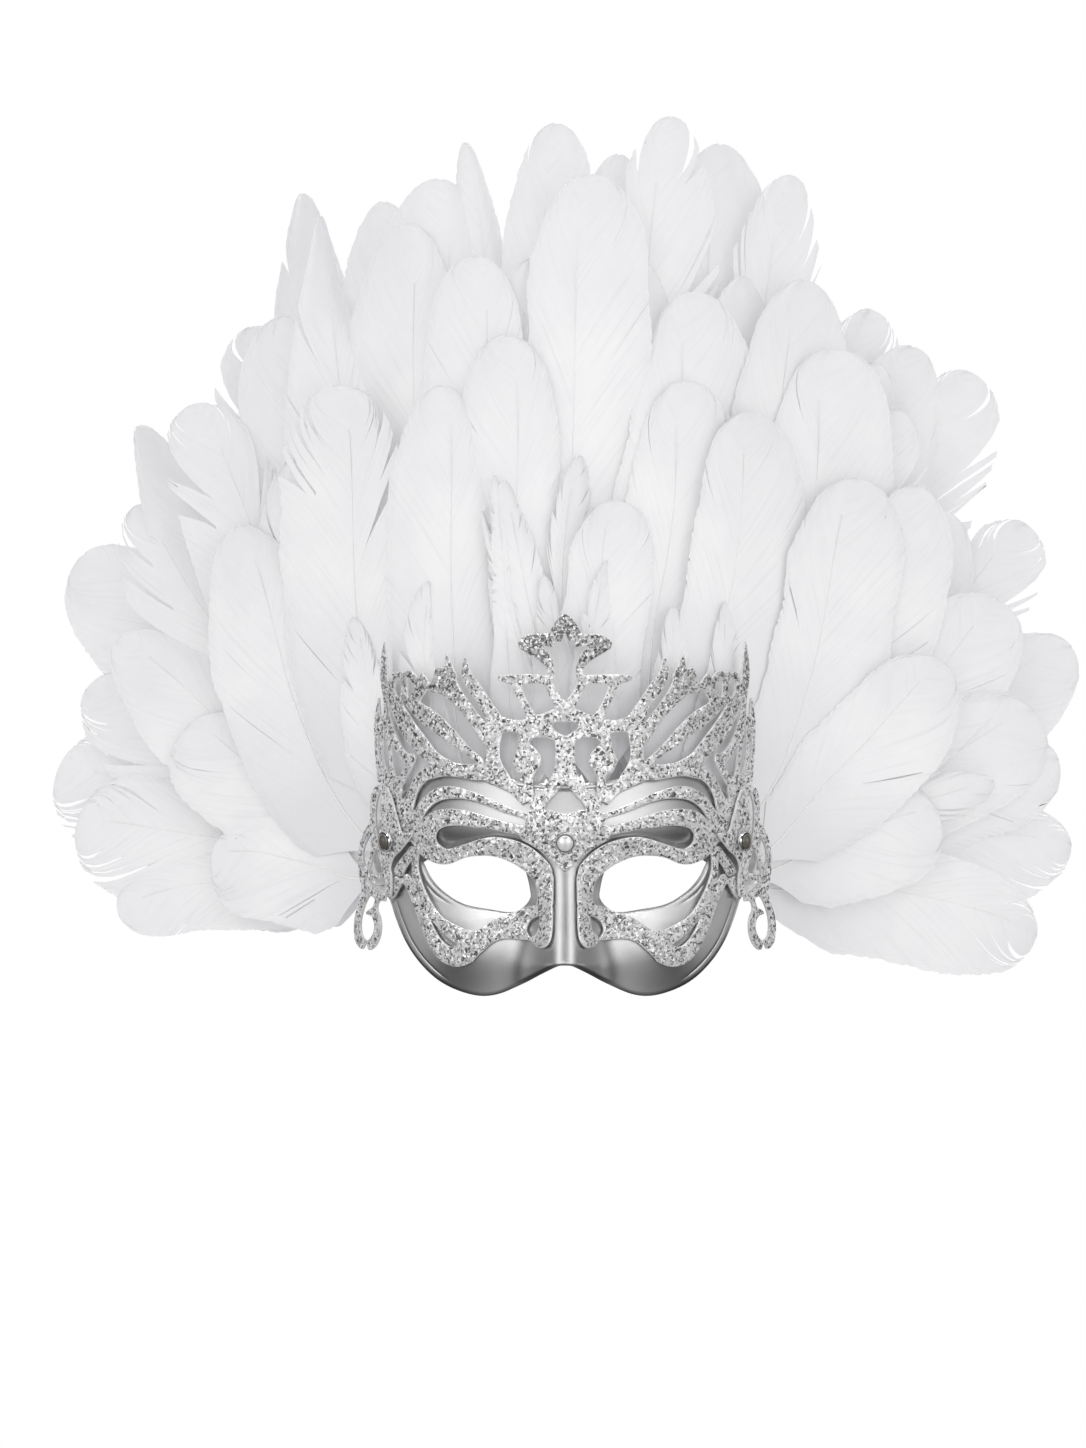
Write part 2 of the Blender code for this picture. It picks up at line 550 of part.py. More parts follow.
def bent_sheet(name, loops, depth, thickness, spacing, material, collection):
    """A pierced sheet: the loops filled, lifted onto a form and given its thickness by Solidify."""
    outer = [loop for loop in loops if signed_area(loop) > 0]
    holes = [loop for loop in loops if signed_area(loop) < 0]
    points, triangles = triangles_inside(outer, holes, grid_points(loops, spacing))
    mesh = bpy.data.meshes.new(name)
    mesh.from_pydata([(p[0] * MM, depth(p[0], p[1]) * MM, p[1] * MM) for p in points], [], triangles)
    cleaned = bmesh.new()
    cleaned.from_mesh(mesh)
    bmesh.ops.delete(cleaned, geom=[v for v in cleaned.verts if not v.link_faces], context="VERTS")
    cleaned.to_mesh(mesh)
    cleaned.free()
    mesh.shade_smooth()
    made = link_object(name, mesh, material, collection)
    solidify = made.modifiers.new("thickness", "SOLIDIFY")
    solidify.thickness = thickness * MM
    solidify.offset = -1
    return made


def circle(centre, radius, squash, sides=CUP_SIDES):
    turns = [2 * math.pi * k / sides for k in range(sides)]
    return [np.array(centre) + radius * np.array([squash * math.cos(t), math.sin(t)]) for t in turns]


def filigree_loops(ribbons, slots):
    """The outline of a filigree piece: its ribbons run together, less its slots."""
    solid = [quad for nodes in ribbons for quad in ribbon_quads(nodes, OUTLINE_STEP)]
    points, triangles = triangles_inside(solid, slots)
    loops = [loop for loop in outline_loops(points, triangles) if abs(signed_area(loop)) > SMALLEST_HOLE_AREA]
    return [split_long(thinned(loop, OUTLINE_TOLERANCE), LONGEST_SIDE) for loop in loops]


def smooth_loop(points, step=OUTLINE_STEP):
    return [p[:2] for p in spread(points, True, step)]


def both_sides(loop):
    return [loop, [np.array([-p[0], p[1]]) for p in reversed(loop)]]


def outward(depth, across, up):
    """The unit vector that points out of a surface."""
    return Vector((slope_across(depth, across, up), -1, slope_up(depth, across, up))).normalized()


def on_surface(depth, across, up):
    return Vector((across, depth(across, up), up))


def post_hole(depth, centre):
    """A hole for a post that stands square to the surface, as it looks from the front."""
    squash = 1 / math.hypot(1, slope_across(depth, *centre))
    return circle(centre, POST_RADIUS + POST_CLEARANCE, squash)


def behind_wing(side):
    """Where the temple stone's post goes through the crown sheet."""
    seat = (side * TEMPLE_STONE[0], TEMPLE_STONE[1])
    inward = on_surface(wing_depth, *seat) - (WING_GAP + SHEET_THICKNESS) * outward(wing_depth, *seat)
    return inward.x, inward.z


def shell_loops():
    left_half = [(-across, up, corner) for across, up, corner in reversed(SHELL_EDGE[1:-1])]
    edge = smooth_loop(SHELL_EDGE + left_half, SHELL_OUTLINE_STEP)
    holes = both_sides(smooth_loop(EYE_HOLE, SHELL_OUTLINE_STEP))
    return [facing_up(edge)] + [facing_up(hole)[::-1] for hole in holes]


def crown_loops():
    halves = list(CROWN_RIBBONS.values())
    halves += [[(-across, up, width) for across, up, width in nodes] for nodes in CROWN_RIBBONS.values()]
    slots = [smooth_loop(points) for points in CROWN_SLOTS.values()]
    for points in HALF_SLOTS.values():
        slots += both_sides(smooth_loop(points))
    slots.append(post_hole(crown_depth, CENTRE_STONE))
    slots += [post_hole(crown_depth, behind_wing(side)) for side in (-1, 1)]
    return filigree_loops(halves, slots)


def wing_loops(side):
    ribbons = [[(side * across, up, width) for across, up, width in nodes] for nodes in WING_RIBBONS.values()]
    return filigree_loops(ribbons, [post_hole(wing_depth, (side * TEMPLE_STONE[0], TEMPLE_STONE[1]))])


def root_point(angle):
    """Where a feather's quill meets the glue band, by its angle from the top."""
    turn = math.radians(angle)
    return np.array([BAND_HALF_LENGTH * math.sin(turn), BAND_CENTRE_UP + BAND_HEIGHT * math.cos(turn)])


def blade_edges(feather):
    """The right and left edge of a feather, as pairs of points seen from the front."""
    angle, tip_across, tip_up, width, bow = feather
    root, tip = root_point(angle), np.array([tip_across, tip_up], float)
    run = tip - root
    beside = np.array([run[1], -run[0]]) / np.linalg.norm(run)
    edges = []
    for along, share in FEATHER_STATIONS:
        middle = root + run * along - beside * bow * np.linalg.norm(run) * math.sin(math.pi * along)
        edges.append((middle + beside * width * share / 2, middle - beside * width * share / 2))
    return edges


def band_edges(first, last):
    """The outer and inner edge of a glue band between two angles, with its corners at the same angles in
    every row."""
    corners = [k * BAND_STEP for k in range(math.ceil(first / BAND_STEP), math.ceil(last / BAND_STEP))]
    low, high = first + BAND_CORNER_CLEARANCE, last - BAND_CORNER_CLEARANCE
    edges = []
    for angle in [first] + [corner for corner in corners if low < corner < high] + [last]:
        along = root_point(angle + 1) - root_point(angle - 1)
        beside = np.array([-along[1], along[0]]) / np.linalg.norm(along) * BAND_WIDTH / 2
        edges.append((root_point(angle) + beside, root_point(angle) - beside))
    return edges


def add_strip(target, edges, ply):
    """A strip one face wide along pairs of points, laid on a ply and facing forward."""
    grid = bmesh.ops.create_grid(target, x_segments=1, y_segments=len(edges) - 1)["verts"]
    grid.sort(key=lambda vertex: (round(vertex.co.y, 4), vertex.co.x))
    for row, (right, left) in enumerate(edges):
        for vertex, point in zip(grid[2 * row:2 * row + 2], (left, right)):
            vertex.co = Vector((point[0], ply_depth(point[0], point[1], ply), point[1])) * MM


def strip_object(name, strips, thickness, material, collection):
    """Strips of (edges, ply) given their thickness by Solidify, half to each side."""
    mesh = bpy.data.meshes.new(name)
    built = bmesh.new()
    for edges, ply in strips:
        add_strip(built, edges, ply)
    built.to_mesh(mesh)
    built.free()
    made = link_object(name, mesh, material, collection)
    solidify = made.modifiers.new("thickness", "SOLIDIFY")
    solidify.thickness = thickness * MM
    solidify.offset = 0
    return made


def build_feathers(row, material, parts, cutters):
    """One row of feathers in three lengths, each fused to its glue band."""
    row_name = list(FEATHERS)[row]
    feathers = FEATHERS[row_name]
    limits = {
        "left": (feathers[0][0] - BAND_END, -SECTOR_EDGE - SECTOR_GAP),
        "top": (-SECTOR_EDGE + SECTOR_GAP, SECTOR_EDGE - SECTOR_GAP),
        "right": (SECTOR_EDGE + SECTOR_GAP, feathers[-1][0] + BAND_END),
    }
    for sector, (first, last) in limits.items():
        name = f"feathers_{row_name}_{sector}"
        blades = [
            (blade_edges(feather), 2 * row + index % 2)
            for index, feather in enumerate(feathers) if first < feather[0] < last
        ]
        centre_line = (band_edges(first, last), 2 * row + 0.5)
        band = strip_object(f"{name}_band", [centre_line], BAND_THICKNESS, material, cutters)
        band.hide_render = True
        band.display_type = "WIRE"
        made = strip_object(name, blades, BLADE_THICKNESS, material, parts)
        glue = made.modifiers.new("glued to the band", "BOOLEAN")
        glue.operation = "UNION"
        glue.object = band


def turned_object(name, profile, sides, material, collection):
    """A profile of (radius, height) turned about Z."""
    mesh = bpy.data.meshes.new(name)
    lines = [(i, i + 1) for i in range(len(profile) - 1)]
    mesh.from_pydata([(radius * MM, 0, height * MM) for radius, height in profile], lines, [])
    made = link_object(name, mesh, material, collection)
    screw = made.modifiers.new("turn", "SCREW")
    screw.steps = sides
    screw.render_steps = sides
    screw.use_merge_vertices = True
    screw.merge_threshold = SNAP_DISTANCE
    return made


def build_stone(where, depth, centre, sheets, materials, collection):
    """A faceted stone in a cup whose post goes through a number of sheets."""
    floor = SEAT_HEIGHT + CUP_FLOOR_THICKNESS
    rim = floor + CUP_INSIDE_DEPTH
    post_end = -sheets * (SHEET_THICKNESS + WING_GAP) + POST_END_GAP
    wall = STONE_RADIUS + CLEARANCE
    cup = [
        (0, floor), (wall, floor), (wall, rim), (wall + BEZEL_TOP, rim), (CUP_RADIUS, rim - BEZEL_SLOPE),
        (CUP_RADIUS, SEAT_HEIGHT), (POST_RADIUS, SEAT_HEIGHT), (POST_RADIUS, post_end), (0, post_end),
    ]
    stone = [
        (0, rim + TABLE_ABOVE_RIM), (STONE_RADIUS * TABLE_SHARE, rim + TABLE_ABOVE_RIM),
        (STONE_RADIUS, rim + GIRDLE_ABOVE_RIM), (STONE_RADIUS, rim - GIRDLE_BELOW_RIM),
        (0, floor + CLEARANCE),
    ]
    turn = outward(depth, *centre).to_track_quat("Z", "Y").to_euler()
    made = [
        turned_object(f"setting_{where}", cup, CUP_SIDES, materials["silver"], collection),
        turned_object(f"stone_{where}", stone, STONE_SIDES, materials["crystal"], collection),
    ]
    for piece in made:
        piece.location = on_surface(depth, *centre) * MM
        piece.rotation_euler = turn


def finish(name, colour, roughness, metallic):
    material = bpy.data.materials.new(name)
    material.use_nodes = True
    shader = material.node_tree.nodes["Principled BSDF"]
    shader.inputs["Base Color"].default_value = (*colour, 1)
    shader.inputs["Roughness"].default_value = roughness
    shader.inputs["Metallic"].default_value = metallic
    return material


def new_collection(name):
    made = bpy.data.collections.new(name)
    bpy.context.scene.collection.children.link(made)
    return made


def main():
    for leftover in list(bpy.data.objects):
        bpy.data.objects.remove(leftover)
    parts, cutters = new_collection("feathered_eye_mask"), new_collection("cutters")
    materials = {
        "satin": finish("silver satin", (0.42, 0.42, 0.43), 0.3, 0.8),
        "glitter": finish("silver glitter", (0.62, 0.62, 0.62), 0.45, 0.5),
        "silver": finish("polished silver", (0.8, 0.8, 0.8), 0.15, 1.0),
        "crystal": finish("crystal", (0.9, 0.9, 0.92), 0.03, 0.0),
        "feather": finish("white feather", (0.88, 0.87, 0.9), 0.8, 0.0),
    }
    satin, glitter = materials["satin"], materials["glitter"]
    bent_sheet("mask_shell", shell_loops(), shell_depth, SHELL_THICKNESS, SHELL_SPACING, satin, parts)
    bent_sheet("crown_filigree", crown_loops(), crown_depth, SHEET_THICKNESS, SHEET_SPACING, glitter, parts)
    build_stone("centre", crown_depth, CENTRE_STONE, 1, materials, parts)
    for side, word in ((-1, "left"), (1, "right")):
        wing = wing_loops(side)
        bent_sheet(f"wing_{word}", wing, wing_depth, SHEET_THICKNESS, SHEET_SPACING, glitter, parts)
        build_stone(word, wing_depth, (side * TEMPLE_STONE[0], TEMPLE_STONE[1]), 2, materials, parts)
    for row in range(len(FEATHERS)):
        build_feathers(row, materials["feather"], parts, cutters)


if __name__ == "__main__":
    main()
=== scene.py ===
"""Looks of the feathered eye mask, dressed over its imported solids.

The form, the outlines and the rows of feathers are those of the solids, drawn finer. Outlines are in
millimetres (across, up) as seen from the front, and are lifted onto the curved form.
"""

import math

import bpy
import numpy as np
from mathutils import Matrix, Vector
from mathutils.geometry import delaunay_2d_cdt
from mathutils.kdtree import KDTree


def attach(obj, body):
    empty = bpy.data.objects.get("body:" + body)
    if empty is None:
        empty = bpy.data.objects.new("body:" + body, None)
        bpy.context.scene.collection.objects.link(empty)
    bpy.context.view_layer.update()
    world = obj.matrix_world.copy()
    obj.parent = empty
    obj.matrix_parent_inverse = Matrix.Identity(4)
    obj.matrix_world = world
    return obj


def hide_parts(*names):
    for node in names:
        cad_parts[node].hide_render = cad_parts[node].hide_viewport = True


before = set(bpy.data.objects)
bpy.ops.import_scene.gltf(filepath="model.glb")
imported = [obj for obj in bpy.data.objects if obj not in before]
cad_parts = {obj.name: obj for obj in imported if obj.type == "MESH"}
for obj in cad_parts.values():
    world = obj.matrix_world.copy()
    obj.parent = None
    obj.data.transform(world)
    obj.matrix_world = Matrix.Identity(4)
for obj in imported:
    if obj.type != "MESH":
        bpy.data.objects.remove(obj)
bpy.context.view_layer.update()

MM = 0.001

# The sides as seen from the front.
SIDES = {"left": -1, "right": 1}

# The form that everything is bent round: an ellipse seen from above, then straight sides.
FORM_HALF_WIDTH = 78.0
FORM_DEPTH = 58.0
SIDE_SLOPE = 1.35

# What stands out of that form or sinks into it: a height, then (centre, reach, power) across and up.
BROW = {"height": 2.4, "across": (30, 34, 4), "up": (21, 10, 2)}
CHEEK = {"height": 3.6, "across": (37, 22, 2), "up": (-27, 15, 2)}
SOCKET = {"height": 4.6, "across": (35, 23, 4), "up": (0, 13.5, 4)}
BROW_ROLL_FROM = 25.0
BROW_ROLL = 0.006

# The nose grows in height and width down from its top, and fades into the brow.
NOSE_TOP = 13.0
NOSE_LENGTH = 46.0
NOSE_ROOT_HEIGHT = 1.2
NOSE_GROWTH = 17.0
NOSE_GROWTH_POWER = 1.15
NOSE_REACH = 6.4
NOSE_FLARE = 6.4
NOSE_POWER = 2.4
NOSE_FADE_TOP = 26.0
NOSE_FADE_LENGTH = 16.0

# How thick the shell and the glittered sheets are, the gaps between them in millimetres, and how far the
# crown leans back above its foot.
SHELL_THICKNESS = 1.6
SHEET_THICKNESS = 1.1
SHEET_GAP = 1.1
WING_GAP = 0.8
CROWN_LEAN = 0.05
CROWN_FOOT = 33.0

# How ribbons are drawn: their least width, how much fuller they are than in their tables and from what
# width on, how much wider the star is, and how far the ends of spikes are raised. Those are known by
# their width.
NARROWEST_RIBBON = 0.25
RIBBON_WIDENING = 0.45
FULLY_WIDENED_FROM = 2.0
STAR_WIDENING = 1.2
SPIKE_LENGTHENING = 1.5
SPIKE_END = 0.9
SMALLEST_HOLE_AREA = 0.8

# The stones in their cups, in millimetres. The culet is a share of the stone's radius.
STONE_RADIUS = 3.1
CUP_RADIUS = 4.0
POST_RADIUS = 1.3
CLEARANCE = 0.35
POST_CLEARANCE = 0.7
SEAT_HEIGHT = 0.75
CUP_FLOOR_THICKNESS = 0.5
CUP_INSIDE_DEPTH = 1.2
CUP_FILLET = 0.15
CUP_BEVEL = 0.1
RIM_BEVEL = 0.08
BEZEL_SLOPE = 0.45
BEZEL_TOP = 0.27
BEZEL_BEVEL = 0.05
POST_END_GAP = 0.1
DOME_HEIGHT = 1.0
DOME_ANGLES = (90, 72, 54, 36, 18, 0)
GIRDLE_ABOVE_RIM = 0.1
GIRDLE_BELOW_RIM = 0.2
CULET_HEIGHT = 0.35
CULET_SHARE = 0.4
CENTRE_STONE = (0.0, 14.6)
TEMPLE_STONE = (70.0, 15.0)

# Feathers lie in six plies, two to a row. The plies open out with the distance from the brow.
FIRST_PLY = 3.4
PLY_STEP = 2.0
PLY_SPREAD = 0.026
PLY_SPREAD_FROM = 50.0
FEATHER_LEAN = 0.14
FLATTEN_FROM = 80.0
FLATTEN_REACH = 52.0
FLAT_SLOPE = 0.15
TOP_FLATTENING = 0.3
TOP_FLATTENS = (40.0, 240.0)

# The glue bands follow half an ellipse behind the brow and the temples, in a left, top and right length.
BAND_CENTRE_UP = 4.0
BAND_HALF_LENGTH = 74.0
BAND_HEIGHT = 31.0
BAND_WIDTH = 5.2
BAND_THICKNESS = PLY_STEP + 0.6
BAND_SIDES = 12
SECTOR_EDGE = 50.0
SECTOR_GAP = 0.8

# Along a band, in degrees: how far it runs past its last feather, from ring to ring, and how far its ends
# are rounded, down to a share of its size. Its lumps have a height, a pace and a shift for each ply.
BAND_END = 4.5
BAND_STEP = 1.5
BAND_ROUNDING = 2.5
BAND_END_SIZE = 0.35
BAND_LUMPS = [(0.07, 31, 1), (0.05, 67, 0)]

SHELL_EDGE = [
    # across, up, corner: the right half of the outline, from the nose cut-out round to the brow
    (0, -33.2, 0), (4, -33.8, 0), (10, -36.6, 0), (18, -41.2, 0), (26, -44.9, 0), (34, -45.8, 0),
    (43, -43.6, 0), (51, -39.4, 0), (58, -32.8, 0), (63.5, -24.8, 0), (67.5, -15.6, 0), (70.2, -7.6, 0),
    (73, -1.2, 0), (76, 3.6, 0), (76.8, 9.6, 0), (74.6, 17.4, 0), (71, 25, 0), (66.6, 32, 0),
    (61.4, 37.4, 0), (55, 41, 0),
    (48, 42.4, 0), (38, 42, 0), (26, 40.6, 0), (12, 38.8, 0), (0, 38.3, 0),
]
EYE_HOLE = [
    (14.2, -3.5, 0), (14.6, -8, 0), (20, -12.2, 0), (30, -11.2, 0), (40, -9.3, 0), (48, -5, 0),
    (53.2, 0.3, 0), (56.6, 6.6, 1), (51, 9.6, 0), (43, 11.6, 0), (33, 12.2, 0), (24, 10.6, 0),
    (17, 5.6, 0),
]

# The right half of the filigree sheet, as ribbons: each is a line of (across, up, width).
CROWN_RIBBONS = {
    "star_ray": [(0, 105, 0.6), (1.9, 100.6, 3.8), (4.2, 94.6, 4.6)],
    "star_arm": [(3.6, 94.3, 4.4), (9, 94.6, 3.6), (14, 93.7, 4.8), (18.6, 92.8, 1.6)],
    "star_return": [
        (18, 92.6, 1.8), (13.5, 91, 3.4), (9, 88.6, 3.8), (6.4, 85.4, 2.9), (5.6, 82.4, 1.9),
        (6, 79, 2.4),
    ],
    "crossbar": [(5.8, 78.6, 3), (12, 79.2, 3.2), (20, 79, 3.7), (26.8, 79.7, 1.4)],
    "diagonal": [(0, 66.4, 6.4), (3.2, 71, 3.4), (6, 76, 3), (6.8, 79.4, 2.8)],
    "leg": [(19.6, 78, 3.2), (17.6, 72.4, 2.7), (14.6, 66.4, 3), (12, 62, 4.5)],
    "knot": [
        (-1, 65.8, 6.4), (4, 64.6, 5), (8.8, 61, 8.6), (13, 59.4, 6.8), (15.9, 55.6, 3.9),
        (17, 51.6, 3.2),
    ],
    "heart_arm": [(8.4, 60, 6), (4, 57, 3.6), (-1, 54, 4.6)],
    "column": [(0, 56.6, 7.4), (0, 47, 7.4), (0, 42.6, 8.6), (0, 38.6, 13.4)],
    "column_foot": [(1.6, 40, 5.6), (5.4, 36.2, 5.2), (9.4, 31.8, 5), (12, 27.6, 6.4)],
    "spade": [
        (17.1, 53.6, 2.8), (15.9, 50.8, 7.6), (15.1, 47.2, 11.2), (15.2, 44, 8.4), (14.7, 40.4, 4.4),
        (14.7, 36.4, 3.7), (14.8, 31, 5),
    ],
    "shoulder": [(13, 60.4, 6), (20, 60.6, 4.4), (25, 61.4, 5.4), (29, 61.6, 6.4)],
    "outer_column": [
        (27.4, 62, 6.6), (28.3, 56, 5.4), (28.5, 50, 4.6), (28, 45, 5.8), (24.4, 40, 5),
        (20, 35.8, 3.8), (15.4, 31.6, 4.6),
    ],
    "spike_inner": [
        (27.4, 62, 6.2), (31.9, 70, 4.5), (36.2, 76.2, 4.7), (39.2, 81.6, 3.4), (39.4, 86.8, 0.5),
    ],
    "ray_one": [(29.6, 55, 5.4), (34.4, 61.6, 4.6), (39, 67.4, 4.6), (43.6, 73, 6), (47.4, 77.6, 9)],
    "spike_outer": [(45.6, 79.6, 6), (46.2, 83.8, 3), (46.9, 87.6, 0.5)],
    "lobe": [
        (46, 77.6, 7.4), (51, 78.6, 10.2), (54, 79.2, 7.8), (56.6, 76.6, 4.4), (59, 72.6, 3.8),
        (61, 69.4, 3.8),
    ],
    "ray_two": [
        (32.8, 46.6, 1.8), (39, 51.2, 3), (46, 57.4, 5.2), (53, 63.2, 6.4), (59, 67.8, 5),
        (62.4, 71, 3.4),
    ],
    "ray_three": [
        (45, 44, 4.4), (52, 47.8, 5), (58, 54.2, 6.2), (62.8, 60.6, 6.2), (66.2, 67.2, 4.8),
        (68.8, 72.6, 2.8), (70.4, 78, 2),
    ],
    "arch_one": [(57.6, 76.2, 2.4), (60.2, 79.8, 2.5), (62.1, 82.4, 1.4)],
    "arch_middle": [(62, 82.2, 1.8), (63.7, 79, 2.2), (63.8, 74.6, 2), (64.2, 69.8, 4)],
    "arch_two": [(64, 79.4, 2), (66.5, 82, 2), (68.7, 78.6, 2), (69.3, 74.6, 2.2)],
    "tall_spike": [
        (71.9, 92.8, 0.3), (72.1, 87, 2), (72, 80, 2.6), (71.6, 74, 1.9), (71.1, 68, 1.7),
        (70.4, 62, 2.2), (68.6, 56.6, 2.5), (66, 51.6, 2.5), (63, 48.2, 3), (59.6, 48.2, 3.4),
    ],
    "bridge": [(70.4, 63, 3), (73.9, 62.6, 3)],
    "side_spike": [
        (74.3, 70.4, 0.3), (74.6, 66, 1.5), (74.9, 61.4, 1.9), (75.2, 56, 1.2), (74.9, 50, 1.2),
        (74.2, 44, 1.6), (73.3, 38.4, 2.4),
    ],
    "side_bar": [(73.5, 62.6, 2), (73, 57, 1.6), (72.9, 51, 1.2), (72.4, 45.6, 1.3), (71.6, 40.4, 2.6)],
    "hanging_bar": [
        (69.8, 61.6, 2.2), (70.3, 57, 2.2), (69.7, 53.4, 1.5), (69.3, 48, 1.1), (68.9, 43.6, 1.3),
        (68.2, 39.4, 2),
    ],
    "slant_bar": [(60.6, 49, 2.6), (61.9, 45.4, 2.3), (63.7, 41.8, 2.1), (66, 38, 3)],
    "side_foot": [(65.4, 36.6, 4), (68.4, 38.2, 4.4), (72.8, 40, 2.8)],
    "lower_rim": [
        (19.6, 36, 3.6), (27, 40.4, 5.6), (31.5, 43, 7), (37, 42.4, 5.6), (45, 43.6, 5),
        (51.4, 43.4, 6), (56.2, 41, 4), (59.4, 37, 3.2), (61.6, 32, 3.4), (62.6, 27, 4.4),
    ],
    "side_ground": [
        (55, 14, 9), (59.6, 19.4, 6.4), (62.8, 25, 7.6), (65.2, 30.6, 5.6), (68, 36.4, 4.4),
    ],
    "under_wing": [(60, 19, 5), (66, 17, 7), (71.8, 14.6, 7.6)],
    "centre_plate": [
        (0, 2.4, 0.8), (0, 7, 9.4), (0, 11, 20), (0, 15.4, 34), (0, 20, 33), (0, 24.6, 30),
        (0, 27.6, 27),
    ],
    "stripe": [
        (12, 24.6, 3), (20, 27, 2.3), (28, 30, 3), (36, 32.8, 3.3), (44, 34.5, 4.3), (49.5, 34, 4.6),
        (54, 31.4, 4.2), (57.4, 27, 3.8), (59.6, 21.6, 4),
    ],
    "swirl": [
        (13.4, 19, 3.6), (22, 20.4, 3.4), (30, 22.5, 4.2), (38, 24, 6), (45, 24.7, 6.8),
        (50.8, 23.4, 7.2), (54.8, 19.8, 7.6), (55.6, 15.2, 8.4), (52.8, 11.2, 7), (47.4, 9.3, 6.2),
        (41, 11.1, 5), (34, 12.9, 6.4), (26, 12.8, 7.4), (17, 9.6, 8.4), (9.8, 3.6, 8.2), (8, -3, 6.2),
        (7.8, -9.6, 5.8),
    ],
    "inner_lobe": [(7.8, -9, 5.8), (9.4, -14, 9), (10, -19, 10), (9, -24, 7.6), (9, -26.4, 4.4)],
    "under_eye": [
        (11, -16.4, 13), (16, -17.4, 12), (20, -18, 10), (25, -18.8, 8.4), (30, -21.2, 6.8),
        (35, -24.8, 7.6), (39.6, -28, 9.6),
    ],
    "inner_strip": [
        (35, -23.6, 6.4), (40, -22.8, 6.4), (46, -19.4, 5), (50, -16.2, 3.6), (53.8, -11.4, 3.4),
        (57, -5.4, 3.1), (58.9, 0, 2.6), (59.6, 5, 1.9), (59.4, 11, 2.4),
    ],
    "outer_strip": [
        (38, -28, 8.6), (42.6, -30.2, 7.8), (47.4, -29.2, 6.2), (51.6, -24.8, 4.8), (55, -18, 4),
        (58, -10.6, 3.4), (60.8, -4, 3.1), (63.4, 0.4, 3.2), (65.5, 1, 3.6), (67.2, -2.4, 2.7),
        (68.9, -6.2, 2), (70.1, -9.4, 0.8),
    ],
    "side_strip": [(59.8, 12.6, 2.8), (62.4, 8.8, 3), (65.2, 5, 3.4), (66.6, 1.6, 3.4)],
}

# Slots that are cut through the sheet, each a closed outline of (across, up, corner): 1 is a sharp corner.
CROWN_SLOTS = {
    "heart": [(0, 62.4, 0), (5, 61.8, 0), (4.4, 59.2, 0), (0, 56.6, 1), (-4.4, 59.2, 0), (-5, 61.8, 0)],
    "brow_arch": [
        (0, 38.6, 1), (3.9, 33.8, 0), (7.6, 29.6, 0), (4, 27, 0), (0, 26.2, 0), (-4, 27, 0),
        (-7.6, 29.6, 0), (-3.9, 33.8, 0),
    ],
    "nose_channel": [
        (0, 0.6, 1), (4.9, 2.4, 1), (5.2, -8, 0), (5.4, -18, 0), (6.4, -23.5, 0), (8.6, -26.2, 0),
        (11, -28, 1), (-11, -28, 1), (-8.6, -26.2, 0), (-6.4, -23.5, 0), (-5.4, -18, 0), (-5.2, -8, 0),
        (-4.9, 2.4, 1),
    ],
}

# The same for slots that are there once on each side.
HALF_SLOTS = {
    "teardrop": [
        (5.4, 2, 1), (6, 5.6, 0), (11, 10.9, 0), (17.5, 14.9, 0), (25, 17.1, 0), (33, 16.2, 0),
        (41, 13.6, 0), (47.4, 12.1, 0), (51.2, 15.6, 0), (50.4, 19.6, 0), (45, 21.4, 0), (36, 20.8, 0),
        (27, 18.6, 0), (19, 16.6, 0), (11, 12.3, 0), (5.4, 7.8, 0), (2.2, 3.6, 1),
    ],
    "brow_gap": [
        (14, 26, 1), (19, 31.6, 0), (26, 35.6, 0), (34, 38.6, 0), (42, 40.4, 0), (49, 40.8, 0),
        (55, 38, 0), (58.6, 33, 0), (61.4, 24.8, 1), (58, 30.8, 0), (53, 35.6, 0), (46, 37.1, 0),
        (37, 35, 0), (27, 30.8, 0), (19, 27.4, 0),
    ],
    "stripe_gap": [
        (15.4, 21.6, 1), (17.4, 24.6, 0), (24, 26.8, 0), (33, 30.4, 0), (41, 32.2, 0), (49, 31.6, 0),
        (54.4, 28, 0), (58, 21, 1), (54.4, 25.8, 0), (48, 28, 0), (39, 27.4, 0), (28, 24.2, 0),
    ],
    "lip_gap": [(7, 40, 0), (8.2, 36.8, 0), (9.6, 34.4, 0), (12.4, 33.2, 1), (12.5, 37, 0), (12.5, 41, 0)],
    "outer_lip_gap": [(16.4, 41.5, 0), (16.2, 36.9, 1), (18.7, 37, 0), (20.4, 38.9, 0), (22, 41.4, 0)],
    "marquise": [(10, -13.6, 1), (13.8, -15.4, 0), (15.6, -19.4, 0), (14, -22.8, 1), (11, -19.8, 0)],
    "side_drop": [
        (56.2, 44.4, 0), (58, 47, 0), (60, 45.6, 0), (62, 40.6, 0), (65.4, 33.4, 0), (64.4, 31.4, 0),
        (62.4, 34.6, 0), (59.6, 40.4, 0),
    ],
}

